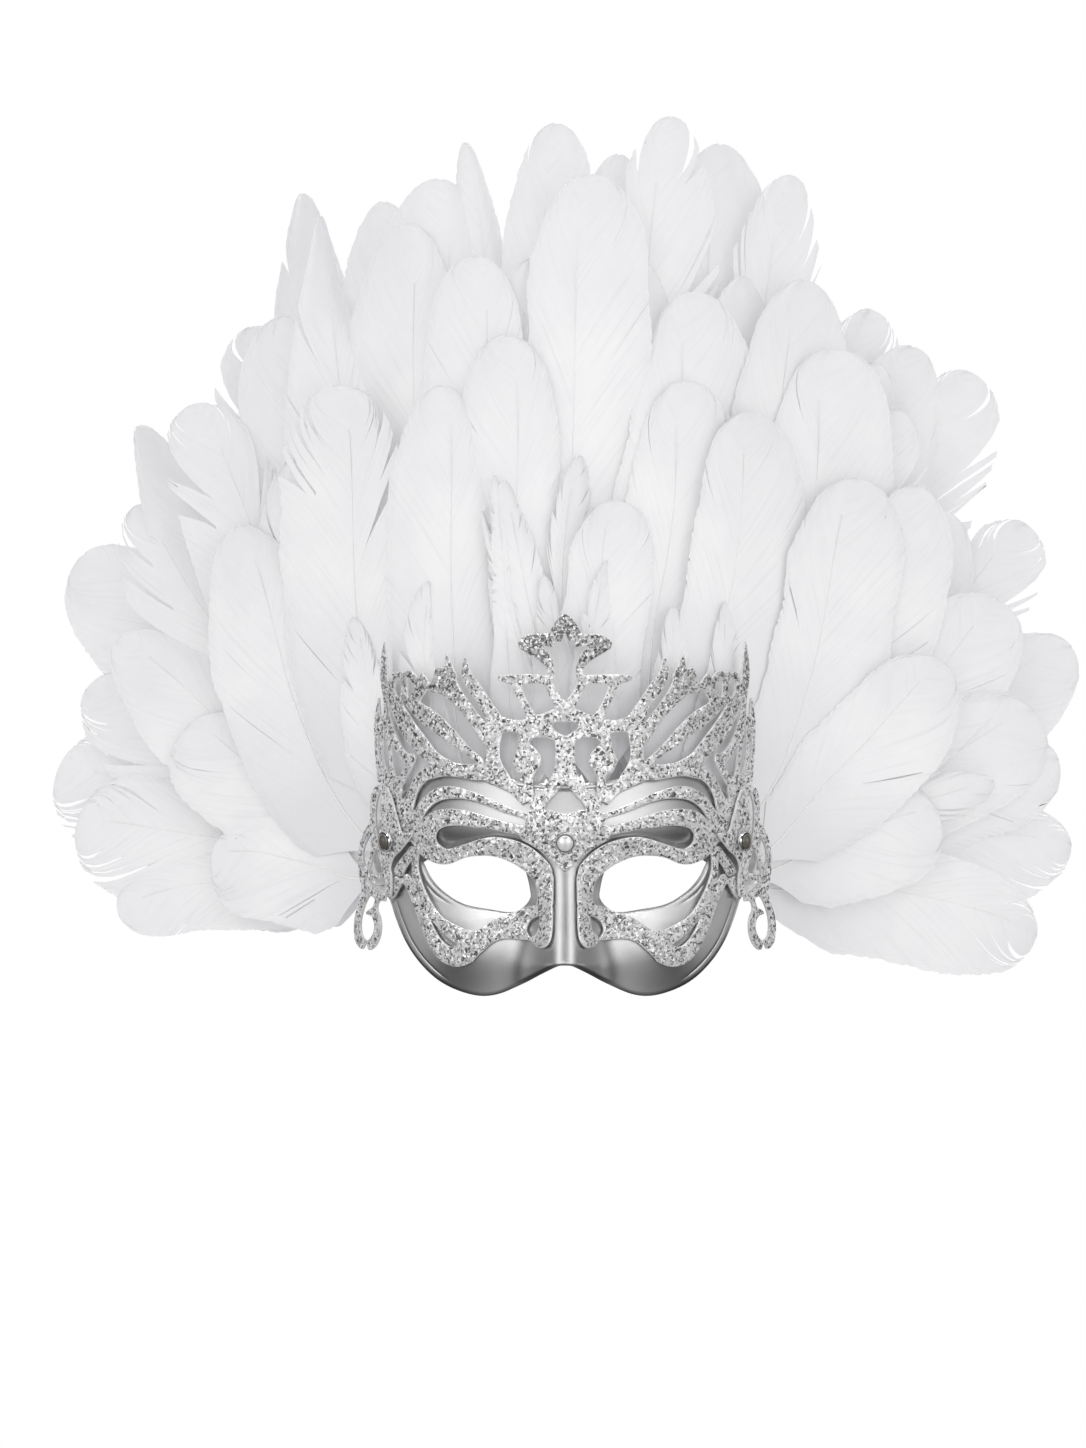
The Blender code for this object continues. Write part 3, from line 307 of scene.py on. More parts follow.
# The right wing, as ribbons of (across, up, width).
WING_RIBBONS = {
    "leaf": [
        (72.4, 36.6, 2), (71, 31.6, 3.8), (70.4, 26, 5.6), (69.8, 20, 7.6), (69.4, 15, 9.4),
        (71, 10.4, 6.6), (71.4, 6, 3.2), (71.2, 3, 2),
    ],
    "tongue": [(60.8, 18.3, 0.6), (64, 16.4, 4), (68, 14.4, 8)],
    "upper_ring": [
        (72.4, 36, 2.6), (74.8, 35.4, 2.6), (76.2, 31, 2.2), (76.5, 26, 1.8), (76.5, 21.4, 2.2),
        (76, 17.4, 2), (75.2, 13.6, 2),
    ],
    "ring_link": [(73.6, 13.6, 2.6), (75.6, 13, 2)],
    "lower_ring": [
        (76.4, 21.8, 2.2), (78.4, 19, 2.4), (80.1, 15.6, 2), (81.3, 11, 1.5), (81.2, 6, 1.9),
        (80.3, 1, 3), (79, -4, 3.6),
    ],
    "ring_back": [(76, 18.4, 2), (76.1, 13.6, 1.7), (77, 9, 1.1), (78.4, 4.4, 1.2), (80, 1.4, 2)],
    "lower_bar": [(71, 5.4, 2.4), (71.8, 1.8, 2.2), (75.4, 0.7, 1.9), (79.6, 0.8, 2.4)],
    "corner": [
        (70.6, 3, 2.2), (70.2, -2.6, 1.7), (70.9, -7.4, 2), (73.6, -7, 2.2), (76.6, -5, 3.2),
        (79.4, -3.4, 3.6),
    ],
    "curl": [
        (78.8, -4, 3.4), (80.9, -9.6, 2.2), (82.5, -15, 2.2), (82.8, -20, 2.3), (81.9, -24.4, 3),
        (79.3, -26.6, 3.6), (76.5, -25, 3), (74.8, -21, 2.3), (74.7, -16.8, 2.3), (75.9, -13.8, 2.6),
        (77.9, -13, 1.9), (79.3, -14.2, 0.5),
    ],
    "curl_link": [(76, -13, 2), (75.4, -10, 1.2), (74, -6.6, 1.6)],
}

# Feathers: angle of the root round the brow (degrees from the top, + to the right), tip across, tip up,
# width, bow.
FEATHERS = {
    "front": [
        (-97, -142, 8, 34, 0.03), (-89, -150, 62, 36, 0.04), (-80, -131, 141, 36, 0.09),
        (-66, -108, 168, 34, 0.08), (-55, -92, 197, 37, 0.07), (-43, -57, 172, 32, 0.06),
        (-31, -48, 196, 32, 0.04), (-18, -24, 216, 32, 0.01), (-8, -24, 158, 22, -0.02),
        (2, 6, 168, 21, 0.02), (12, 20, 150, 26, 0.03), (25, 47, 198, 42, -0.03),
        (41, 74, 186, 36, -0.05), (56, 107, 212, 39, -0.07), (68, 118, 160, 36, -0.08),
        (79, 141, 157, 31, -0.08), (89, 152, 86, 36, -0.04), (97, 150, 26, 34, -0.02),
    ],
    "middle": [
        (-103, -180, -14, 24, -0.03), (-95, -197, 20, 40, 0.01), (-84, -180, 96, 36, 0.04),
        (-73, -172, 150, 36, 0.05), (-63, -150, 190, 34, 0.05), (-53, -112, 226, 36, 0.05),
        (-44, -98, 266, 36, 0.05), (-34, -62, 262, 34, 0.04), (-23, -34, 248, 32, 0.03),
        (-11, -13, 247, 32, 0), (1, 10, 281, 38, -0.01), (12, 31, 246, 32, -0.02),
        (22, 50, 234, 44, -0.03), (33, 72, 241, 34, -0.04), (44, 97, 240, 38, -0.05),
        (55, 125, 207, 31, -0.05), (65, 134, 188, 34, -0.06), (75, 153, 148, 37, -0.05),
        (84, 176, 111, 34, -0.05), (91, 190, 66, 36, -0.02), (97, 173, 38, 28, 0),
        (104, 190, -25, 36, 0.03),
    ],
    "back": [
        (-97, -168, 2, 34, 0), (-89, -205, 43, 38, 0.02), (-80, -193, 76, 40, 0.03),
        (-71, -195, 130, 42, 0.04), (-62, -172, 182, 30, 0.05), (-53, -127, 222, 38, 0.05),
        (-45, -106, 276, 30, 0.05), (-36, -73, 272, 34, 0.04), (-26, -50, 280, 34, 0.03),
        (-15, -40, 295, 28, 0.02), (-4, -3, 302, 32, 0), (7, 22, 290, 32, -0.01),
        (16, 43, 305, 38, -0.02), (26, 63, 295, 36, -0.03), (37, 92, 283, 38, -0.04),
        (47, 124, 229, 35, -0.05), (56, 141, 214, 30, -0.05), (65, 164, 204, 35, -0.05),
        (74, 187, 142, 32, -0.05), (82, 206, 92, 38, -0.03), (90, 200, 46, 34, 0),
        (98, 205, 12, 38, 0.02),
    ],
}
FEATHER_STATIONS = [
    # share of the length, share of the width
    (0.0, 0.08), (0.09, 0.09), (0.22, 0.22), (0.37, 0.53), (0.52, 0.78), (0.67, 0.95), (0.82, 0.98),
    (0.94, 0.72), (1.0, 0.26),
]

# Downy foot of a vane: share of the length, share of the width where there is room for it.
DOWN_STATIONS = [(0.0, 0.7), (0.06, 0.85), (0.14, 0.95), (0.3, 1.0), (0.6, 1.0), (1.0, 0.98)]
VANE_WIDENING = 1.3
VANE_OVERLAP = 0.95

# The shape of a vane out of its ply, as shares of the room to the next ply. Its waves have a height, and a
# pace along the feather and across it. The fold, the ripple, the pleat and the twist each start at random.
CAMBER = 0.3
CAMBER_LEVEL = 0.35
FOLD = (0.1, 5, 0)
RIPPLE = (0.04, 17, 3)
PLEAT = (0.08, 2, 7)
SHINGLE = 0.36
TWIST = 0.1
WAVE_COUNT = 4

# The curl of a tip as a share of the length, the ridges of barbs in millimetres, and how far the quill runs
# off the middle as a share of the half width.
TIP_CURL = 0.18
BARB_RELIEF = 0.03
QUILL_OFFSET = 0.22

# Where along a feather its forms set in or end, as shares of its length.
SHAPE_STARTS = (0.1, 0.5)
TILT_STARTS = (0.0, 0.2)
QUILL_SHIFTS = (0.05, 0.45)
TIP_TURNS = (0.6, 1.0)
TIP_FRAYS = (0.7, 0.9)
RIDGES_END = (0.75, 0.9)
TIP_CURLS_FROM = 0.7

# How feathers differ from each other: where the tip starts, how blunt it is, how uneven its two sides are,
# how far it sways along its length, how much its tip curls, and how far the tip turns on the quill, in
# radians.
TIPS = {
    "round": {"from": (0.5, 0.8), "power": (1.7, 3.2)},
    "pointed": {"from": (0.3, 0.45), "power": (1.1, 1.4)},
}
TIP_LEAN = 0.3
SWAY = 0.018
CURLS = (0.2, 1)
TIP_TURN = 0.3
TURNED_OVER = 1.0

# Splits between the barbs of a side. Open ones run out to the edge, slits close again, and tears are at a
# torn tip. Each kind: how many, from where and to where along the vane, how far out it starts and ends, and
# how far it gapes, as a share of the length.
SPLITS = {
    "open": {"count": (0, 3), "along": (0.4, 0.85), "start": (0.4, 0.8), "end": 1.0, "gape": 0.004},
    "slit": {"count": (0, 5), "along": (0.15, 0.8), "start": (0.2, 0.6), "end": 0.85, "gape": 0.0013},
    "tear": {"count": (5, 9), "along": (0.5, 0.9), "start": (0.3, 0.7), "end": 1.0, "gape": 0.035},
}

# The least gape is a share of its kind's, and the widest one a share of the length. A split pulls at the
# barbs for some rows on both sides of it, and closes its own row by a share.
LEAST_GAPE = 1 / 3
WIDEST_GAPE = 0.06
SPLIT_REACH = 7.0
SPLIT_CLOSING = 0.47

# The outer edge of a vane: how deep its waves are, their pace and where they start, and its roughness.
EDGE_WAVE = 0.028
EDGE_WAVES = (14, 30)
EDGE_WAVE_STARTS = (0, 6)
EDGE_NOISE = 0.02

# Feathers with torn tips, those whose tips are turned over, and pointed ones, by row and number.
TORN = {
    "front": (1, 5, 9, 10), "middle": (2, 4, 5, 17, 21, 22), "back": (2, 3, 6, 13, 15, 16, 18, 19, 22),
    "small": (1, 2, 3, 4, 5, 6, 7, 8),
}
TURNED = {"middle": (7,), "back": (5, 7)}
POINTED = {"front": (9, 10), "middle": (7, 21), "back": (10,), "small": (1, 2, 3, 4, 5, 6, 7, 8)}

# Small feathers in front of the others at the crown: (angle, tip across, tip up, width, bow), as in FEATHERS.
SMALL_FEATHERS = [
    (-57, -84, 104, 18, 0.06), (-40, -54, 118, 17, 0.06), (-16, -28, 160, 12, 0.0),
    (-9, -33, 146, 10, -0.03), (-3, -8, 120, 15, -0.02), (9, 17, 126, 15, 0.03),
    (27, 43, 108, 17, -0.05), (44, 64, 110, 17, -0.05),
]
SMALL_PLY = -0.5

# The first random seeds of a row and of the small feathers.
ROW_SEEDS = 100
SMALL_SEEDS = 1000

# Rings of points inside the edges of the shell and of the sheets, and how both are rolled and grooved.
SHELL_RINGS = [0.5, 1.0, 1.6, 2.15, 2.4, 2.6, 2.8, 3.05, 3.8]
SHEET_RINGS = [0.42]
LIP_ROLL = 0.7
LIP_REACH = 1.3
GROOVE_DEPTH = 0.3
GROOVE_SIDES = (44, 52)
GROOVE_DOWN = (0, 6)
GROOVE_TOP_UP = (33, 35)
GROOVE_TOP_SIDES = (26, 32)
GROOVE_FROM_EDGE = 2.6
GROOVE_WIDTH = 0.24
EDGE_ROLL = 0.26
EDGE_REACH = 0.42

# Painted light and shade on the glitter, which shows its flakes lit or shaded: a level everywhere,
# painted light in the middle of the crown, and painted shade on its star and outer rays.
GLITTER_PAINTED_LIGHT = 0.62
MIDDLE_PAINTED_LIGHT = {"height": 0.38, "across": (0, 34, 2), "up": (52, 30, 2)}
STAR_PAINTED_SHADE = 0.6
STAR_UP = (80, 88)
STAR_ACROSS = (0, 26, 4)
RAY_PAINTED_SHADE = 0.3
RAYS_UP = (50, 75)
RAYS_ACROSS = (32, 46)

# The glitter's flakes and the drift that makes them uneven, in numbers to a metre and in metres, and how far
# flakes tilt. The mottle of quills and glue is a share of their colour.
FLAKES = 1250.0
FLAKE_DRIFTS = 700.0
FLAKE_DRIFT = 0.0022
FLAKE_TILT = 0.75
MOTTLE = 0.93

# How finely outlines and grids are drawn, in millimetres. The rings and rows of a grid are shares of its
# spacing, and a point is dropped where it lies nearer the edge than its ring by more than a share.
SHELL_STEP = 1.6
SHELL_GRID = 2.2
SHEET_STEP = 0.7
SHEET_GRID = 1.0
DISTANCE_STEP = 0.3
FEWEST_POINTS = 8
HOLE_SIDES = 28
RING_SPACING = 0.6
RING_CLEARANCE = 0.93
ROW_SPACING = 0.87
GRID_STARTS = 0.55
SNAP_DISTANCE = 0.00001

# Corners of outlines are softened in rounds, a share of the way in each, but not where a line turns by more
# than a sharp tip's angle, in radians.
SOFTENING = 0.5
SMOOTHINGS = 2
SHARP_TIP = 1.9

# Which edges the shading keeps sharp, and how turned pieces are drawn.
SHARP_EDGE = math.radians(45)
TURNED_SHARP_EDGE = math.radians(40)
TURNED_SIDES = 40
ON_AXIS = 0.001

# How a vane is drawn: its rows, the columns on each side, the share of the length where it ends, and its
# thickness in millimetres. Its barbs sweep forward by a share of their length, bend by a power, and keep to
# a share of the room before the tip.
FEATHER_ROWS = 118
FEATHER_COLUMNS = 8
VANE_END = 0.998
VANE_THICKNESS = 0.16
BARB_SWEEP = 1.9
BARB_BEND = 0.9
BARB_ROOM = 0.9

# Coordinates that follow the barbs: the millimetres to a unit along the quill, and where they may start.
BARB_MARK_LENGTH = 100
BARB_MARK_STARTS = (0, 50)

# How a feather is measured: points for its widths and for a neighbour's line, and the share of its length
# over which its heading is taken.
WIDTH_POINTS = 40
LINE_POINTS = 60
HEADING_STEP = 0.01

# The quills: their radii in millimetres, by row and at the end, the share of the length where they end, the
# power of their taper, and the share of the radius by which they stand forward.
QUILL_RADIUS = {"front": 0.6, "middle": 0.42, "back": 0.38, "small": 0.25}
QUILL_END_RADIUS = 0.1
QUILL_END = 0.9
QUILL_TAPER = 0.7
QUILL_RISE = 0.4
QUILL_SIDES = 6
QUILL_RINGS = 34

# Streaks and ridges on a vane: how often they change across it and along it.
STREAKS = (0.6, 22.0, 1.0)
RIDGES = (1.2, 130.0, 1.0)

# How much of the stray light one side of a vane stops, and how strong the light is on matt and on glossy
# surfaces.
LIGHT_STOPPED = 0.42
ROOM_LIGHT = 0.9
STUDIO_LIGHT = 2.25

# The studio in what silver mirrors: (place, brightness) from the middle to the sides, from below to above,
# and from behind to the front.
STUDIO_SIDES = [
    (0.0, 0.3), (0.12, 0.4), (0.22, 0.9), (0.42, 0.9), (0.54, 0.56), (0.66, 0.36), (0.78, 0.11),
    (0.87, 0.03), (0.94, 0.16), (1.0, 0.8),
]
STUDIO_HEIGHT = [(0.0, 0.08), (0.3, 0.12), (0.42, 0.16), (0.5, 0.5), (0.56, 1.0), (1.0, 1.0)]
STUDIO_FRONT = [(0.0, 0.3), (0.3, 0.3), (0.5, 0.5), (0.6, 0.85), (0.66, 1.0), (1.0, 1.0)]

# A small lamp and a dark flag in that studio: the way to each, the cosines of its edge, and its strength.
LAMP_WAY = (-0.08, -0.25, 0.96)
LAMP_EDGE = (0.996, 0.998)
LAMP_LIGHT = 12.0
FLAG_WAY = (0.0, -0.7, 0.71)
FLAG_EDGE = (0.9, 0.96)
FLAG_SHADE = 0.0
LIGHTS = [
    # name, place in metres, size, power
    ("key", (-1.6, -2.6, 2.0), 1.6, 9.0),
    ("fill", (2.4, -2.4, 0.6), 2.0, 6.0),
]
LIGHT_TARGET = (0, 0, 0.1)

# The view: the height that it takes in at the mask, the place that it is aimed at, its distance, and how
# far the camera sees, in metres.
VIEW_HEIGHT = 570.5
VIEW_CENTRE = (-8.7, 61.5)
VIEW_DISTANCE = 5000.0
VIEW_REACH = 60
SENSOR = 36.0

# The floor, in metres: its height, how far it reaches to the sides and the front, and how far behind.
FLOOR_UP = -0.6
FLOOR_SIDE = 12.0
FLOOR_BACK = 4.0


def bump(value, centre, reach, power):
    return np.exp(-(np.abs((value - centre) / reach) ** power))


def smooth_step(value, low, high):
    share = np.clip((value - low) / (high - low), 0, 1)
    return share * share * (3 - 2 * share)


def form_depth(across):
    """How far back the form lies at a distance from the middle."""
    joint = FORM_HALF_WIDTH * SIDE_SLOPE / math.hypot(SIDE_SLOPE, FORM_DEPTH / FORM_HALF_WIDTH)
    beside = np.abs(across)
    reach = np.minimum(beside, joint)
    depth = FORM_DEPTH * (1 - np.sqrt(1 - (reach / FORM_HALF_WIDTH) ** 2))
    return depth + SIDE_SLOPE * np.maximum(beside - joint, 0)


def swell(shape, across, up):
    return shape["height"] * bump(np.abs(across), *shape["across"]) * bump(up, *shape["up"])


def nose_height(across, up):
    down = np.clip((NOSE_TOP - up) / NOSE_LENGTH, 0, 1)
    ridge = NOSE_ROOT_HEIGHT + NOSE_GROWTH * down**NOSE_GROWTH_POWER
    fade = np.clip((NOSE_FADE_TOP - up) / NOSE_FADE_LENGTH, 0, 1)
    return ridge * fade * bump(np.abs(across), 0, NOSE_REACH + NOSE_FLARE * down, NOSE_POWER)


def face_depth(across, up):
    return form_depth(across) - nose_height(across, up) - swell(BROW, across, up) - swell(CHEEK, across, up)


def shell_depth(across, up):
    roll = BROW_ROLL * np.maximum(up - BROW_ROLL_FROM, 0) ** 2
    return face_depth(across, up) + swell(SOCKET, across, up) + roll


def slopes(depth, across, up, step=0.5):
    to_side = (depth(across + step, up) - depth(across - step, up)) / (2 * step)
    upward = (depth(across, up + step) - depth(across, up - step)) / (2 * step)
    return to_side, upward


def crown_depth(across, up):
    """The filigree bridges the sockets and rises from the brow with a slight lean."""
    roll = BROW_ROLL * (np.clip(up, BROW_ROLL_FROM, CROWN_FOOT) - BROW_ROLL_FROM) ** 2
    rise = roll + CROWN_LEAN * np.maximum(up - CROWN_FOOT, 0)
    return face_depth(across, up) + rise - (SHEET_GAP + SHEET_THICKNESS) * steepness(face_depth, across, up)


def wing_depth(across, up):
    return crown_depth(across, up) - (WING_GAP + SHEET_THICKNESS) * steepness(crown_depth, across, up)


def steepness(depth, across, up):
    return np.hypot(1, slopes(depth, across, up)[0])


def fan_depth(across, up):
    """The surface that the feathers follow: it flattens past the temples, opens out above and leans back."""
    beside = np.abs(across)
    past = np.maximum(beside - FLATTEN_FROM, 0)
    eased = np.minimum(past, FLATTEN_REACH)
    bend = (SIDE_SLOPE - FLAT_SLOPE) / (2 * FLATTEN_REACH)
    wrap = form_depth(np.minimum(beside, FLATTEN_FROM)) + SIDE_SLOPE * eased - bend * eased**2
    wrap = wrap + FLAT_SLOPE * np.maximum(past - FLATTEN_REACH, 0)
    flattened = 1 - TOP_FLATTENING * smooth_step(up, *TOP_FLATTENS)
    return wrap * flattened + FEATHER_LEAN * np.maximum(up - CROWN_FOOT, 0)


def ply_room(across, up):
    """The distance from one ply of feathers to the next."""
    out = np.maximum(np.hypot(across, up - BAND_CENTRE_UP) - PLY_SPREAD_FROM, 0)
    return PLY_STEP * steepness(fan_depth, across, up) + PLY_SPREAD * out


def ply_depth(across, up, ply):
    return fan_depth(across, up) + FIRST_PLY * steepness(fan_depth, across, up) + ply * ply_room(across, up)


def lifted(depth, flat, inward=0.0):
    """Points (across, up) on a surface, or some way behind it, as (x, y, z) in millimetres."""
    across, up = flat[:, 0], flat[:, 1]
    to_side, upward = slopes(depth, across, up)
    outward = np.stack([to_side, -np.ones(len(flat)), upward], axis=1)
    outward /= np.linalg.norm(outward, axis=1)[:, None]
    points = np.stack([across, depth(across, up), up], axis=1)
    return points - outward * np.broadcast_to(inward, len(flat))[:, None]


# Outlines

def spread(points, closed, step):
    """A smooth line through the points (Catmull-Rom), about a step apart. On a closed line, a last value of
    1 keeps a corner."""
    points = [np.array(p, float) for p in points]
    count = len(points)
    made = []
    for i in range(count if closed else count - 1):
        first, second = points[i], points[(i + 1) % count]
        before = points[(i - 1) % count] if closed or i > 0 else 2 * first - second
        after = points[(i + 2) % count] if closed or i + 2 < count else 2 * second - first
        leave, arrive = (second - before) / 2, (after - first) / 2
        if closed and first[2] == 1:
            leave = second - first
        if closed and second[2] == 1:
            arrive = second - first
        pieces = max(1, round(np.linalg.norm((second - first)[:2]) / step))
        t = (np.arange(pieces) / pieces)[:, None]
        made.append(
            (2 * t**3 - 3 * t**2 + 1) * first + (t**3 - 2 * t**2 + t) * leave
            + (3 * t**2 - 2 * t**3) * second + (t**3 - t**2) * arrive
        )
    if not closed:
        made.append(points[-1][None])
    return np.concatenate(made)


def left_of(ways):
    """Unit vectors to the left of some ways (across, up)."""
    ways = ways / np.maximum(np.linalg.norm(ways, axis=-1), SNAP_DISTANCE)[..., None]
    return np.stack([-ways[..., 1], ways[..., 0]], axis=-1)


def ribbon_quads(nodes, step):
    """The ribbon through (across, up, width) nodes, as one four-sided piece for each step along it."""
    line = spread(nodes, False, step)
    middle = line[:, :2]
    beside = left_of(np.gradient(middle, axis=0))
    width = np.maximum(line[:, 2:], NARROWEST_RIBBON)
    half = (width + RIBBON_WIDENING * np.minimum(width / FULLY_WIDENED_FROM, 1)) / 2
    left, right = middle + beside * half, middle - beside * half
    return [np.array([right[i], right[i + 1], left[i + 1], left[i]]) for i in range(len(line) - 1)]


def signed_area(loop):
    after = np.roll(loop, -1, axis=0)
    return 0.5 * float((loop[:, 0] * after[:, 1] - after[:, 0] * loop[:, 1]).sum())


def facing_up(loop):
    return loop if signed_area(loop) > 0 else loop[::-1]


def triangulated(polygons, extra=()):
    """Points and triangles that keep to the lines of the polygons, with the middle of each triangle."""
    points, faces = [Vector(p) for p in extra], []
    for polygon in polygons:
        faces.append(list(range(len(points), len(points) + len(polygon))))
        points.extend(Vector(p) for p in facing_up(polygon))
    inside_only = 1
    found = delaunay_2d_cdt(points, [], faces, inside_only, SNAP_DISTANCE)
    flat = np.array([tuple(p) for p in found[0]])
    triangles = np.array(found[2])
    return flat, triangles, flat[triangles].mean(axis=1)


def covered(points, quads):
    """Which points lie in any of the four-sided pieces."""
    made = np.zeros(len(points), bool)
    for quad in map(facing_up, quads):
        side = np.roll(quad, -1, axis=0) - quad
        reach = points[:, None] - quad
        made |= (side[:, 0] * reach[..., 1] >= side[:, 1] * reach[..., 0]).all(axis=1)
    return made


def boundary_lines(triangles):
    """The closed lines of point numbers round a set of triangles."""
    edges = {(int(a), int(b)) for face in triangles for a, b in zip(face, np.roll(face, -1))}
    following = {}
    for a, b in sorted(edges):
        if (b, a) not in edges:
            following.setdefault(a, []).append(b)
    lines = []
    while following:
        at = next(iter(following))
        line = []
        while at in following:
            line.append(at)
            onward = following[at].pop()
            if not following[at]:
                del following[at]
            at = onward
        lines.append(line)
    return lines


def evenly(loop, step):
    """The loop with its points an even distance apart."""
    closed = np.vstack([loop, loop[:1]])
    run = np.concatenate([[0], np.cumsum(np.linalg.norm(np.diff(closed, axis=0), axis=1))])
    count = max(FEWEST_POINTS, round(run[-1] / step))
    at = np.arange(count) / count * run[-1]
    return np.stack([np.interp(at, run, closed[:, 0]), np.interp(at, run, closed[:, 1])], axis=1)


def softened(loop, rounds):
    """The loop with its corners rounded off, except at the sharp tips of spikes."""
    before, after = loop - np.roll(loop, 2, axis=0), np.roll(loop, -2, axis=0) - loop
    turn = np.arctan2(
        before[:, 0] * after[:, 1] - before[:, 1] * after[:, 0], (before * after).sum(axis=1)
    )
    free = (turn < SHARP_TIP)[:, None] * SOFTENING
    for _ in range(rounds):
        loop = loop + free * ((np.roll(loop, 1, axis=0) + np.roll(loop, -1, axis=0)) / 2 - loop)
    return loop


def both_sides(loop):
    return [loop, loop[::-1] * (-1, 1)]


def smooth_loop(points, step):
    return spread(points, True, step)[:, :2]


def whole_turn(sides):
    return np.arange(sides) / sides * 2 * math.pi


def circle(centre, radius, squash):
    turns = whole_turn(HOLE_SIDES)
    return np.array(centre) + radius * np.stack([squash * np.cos(turns), np.sin(turns)], axis=1)


def post_hole(depth, centre):
    """A hole for a post that stands square to the surface, as it looks from the front."""
    squash = 1 / float(steepness(depth, *centre))
    return circle(centre, POST_RADIUS + POST_CLEARANCE, squash)


def temple_stone(side):
    """Where the stone on a wing sits, as (across, up)."""
    return side * TEMPLE_STONE[0], TEMPLE_STONE[1]


def behind_wing(side):
    """Where the temple stone's post goes through the crown sheet."""
    point = lifted(wing_depth, np.array([temple_stone(side)]), WING_GAP + SHEET_THICKNESS)[0]
    return point[0], point[2]


def filigree_loops(ribbons, slots, holes):
    """The outline of a filigree piece: its ribbons run together, less its slots and post holes."""
    solid = [quad for nodes in ribbons for quad in ribbon_quads(nodes, SHEET_STEP)]
    points, triangles, centres = triangulated(solid + slots)
    kept = covered(centres, solid)
    if slots:
        kept &= ~within(centres, slots)
    loops = [points[line] for line in boundary_lines(triangles[kept])]
    loops = [loop for loop in loops if abs(signed_area(loop)) > SMALLEST_HOLE_AREA]
    return [softened(evenly(loop, SHEET_STEP), SMOOTHINGS) for loop in loops] + [h[::-1] for h in holes]


def shell_loops():
    left_half = [(-across, up, corner) for across, up, corner in reversed(SHELL_EDGE[1:-1])]
    edge = smooth_loop(SHELL_EDGE + left_half, SHELL_STEP)
    holes = both_sides(smooth_loop(EYE_HOLE, SHELL_STEP))
    return [facing_up(edge)] + [facing_up(hole)[::-1] for hole in holes]


def crown_loops():
    ribbons = []
    for name, nodes in CROWN_RIBBONS.items():
        fuller, taller = (STAR_WIDENING, 0) if name.startswith("star") else (1, SPIKE_LENGTHENING)
        for side in (1, -1):
            ribbons.append([
                (side * across, up + taller * (width < SPIKE_END), width * fuller)
                for across, up, width in nodes
            ])
    slots = [smooth_loop(points, SHEET_STEP) for points in CROWN_SLOTS.values()]
    for points in HALF_SLOTS.values():
        slots += both_sides(smooth_loop(points, SHEET_STEP))
    holes = [post_hole(crown_depth, CENTRE_STONE)]
    holes += [post_hole(crown_depth, behind_wing(side)) for side in SIDES.values()]
    return filigree_loops(ribbons, slots, holes)


def wing_loops(side):
    ribbons = [[(side * across, up, width) for across, up, width in nodes] for nodes in WING_RIBBONS.values()]
    return filigree_loops(ribbons, [], [post_hole(wing_depth, temple_stone(side))])


# Sheets

def distance_to(loops):
    """A function that gives how far a point lies from the loops."""
    dense = np.concatenate([evenly(loop, DISTANCE_STEP) for loop in loops])
    tree = KDTree(len(dense))
    for i, (across, up) in enumerate(dense):
        tree.insert((across, up, 0), i)
    tree.balance()
    return lambda across, up: tree.find((across, up, 0))[2]


def within(points, loops):
    """Which points lie inside the loops, counting the lines that a ray to the right crosses."""
    starts = np.concatenate(loops)
    ends = np.concatenate([np.roll(loop, -1, axis=0) for loop in loops])
    rise = np.where(ends[:, 1] == starts[:, 1], 1, ends[:, 1] - starts[:, 1])
    made = []
    for across, up in points:
        crossing = (starts[:, 1] > up) != (ends[:, 1] > up)
        share = (up - starts[crossing, 1]) / rise[crossing]
        at = starts[crossing, 0] + share * (ends - starts)[crossing, 0]
        made.append((at > across).sum() % 2 == 1)
    return np.array(made)


def filling_points(loops, rings, spacing, distance):
    """Rings of points along the loops at some distances inward, then a staggered grid inside them."""
    made = []
    for ring in rings:
        for loop in loops:
            even = evenly(loop, spacing * RING_SPACING)
            inset = even + left_of(np.roll(even, -1, axis=0) - np.roll(even, 1, axis=0)) * ring
            made += [p for p in inset if distance(*p) > ring * RING_CLEARANCE]
    low, high = np.concatenate(loops).min(axis=0), np.concatenate(loops).max(axis=0)
    for row, up in enumerate(np.arange(low[1], high[1], spacing * ROW_SPACING)):
        for across in np.arange(low[0] + spacing / 2 * (row % 2), high[0], spacing):
            if distance(across, up) > rings[-1] + spacing * GRID_STARTS:
                made.append(np.array([across, up]))
    points = np.array(made)
    return points[within(points, loops)]


# Painted light and shade on the glitter at each point: 1 shows its flakes lit, 0 shows them shaded.
def glitter_painted_light(flat):
    beside, up = np.abs(flat[:, 0]), flat[:, 1]
    star = STAR_PAINTED_SHADE * smooth_step(up, *STAR_UP) * bump(beside, *STAR_ACROSS)
    rays = RAY_PAINTED_SHADE * smooth_step(up, *RAYS_UP) * smooth_step(beside, *RAYS_ACROSS)
    return np.clip(GLITTER_PAINTED_LIGHT + swell(MIDDLE_PAINTED_LIGHT, beside, up) - star - rays, 0, 1)


def shell_lip(distance, flat):
    """A rolled lip, and inside it a fine groove down the outer cheeks and along the forehead."""
    beside, up = np.abs(flat[:, 0]), flat[:, 1]
    roll = LIP_ROLL * (1 - np.minimum(distance / LIP_REACH, 1)) ** 2
    cheek = smooth_step(beside, *GROOVE_SIDES) * smooth_step(-up, *GROOVE_DOWN)
    forehead = smooth_step(up, *GROOVE_TOP_UP) * (1 - smooth_step(beside, *GROOVE_TOP_SIDES))
    return roll + GROOVE_DEPTH * (cheek + forehead) * bump(distance, GROOVE_FROM_EDGE, GROOVE_WIDTH, 2)


def sheet_edge(distance, _):
    return EDGE_ROLL * (1 - np.minimum(distance / EDGE_REACH, 1)) ** 2


def add_object(name, data):
    made = bpy.data.objects.new(name, data)
    bpy.context.scene.collection.objects.link(made)
    return made


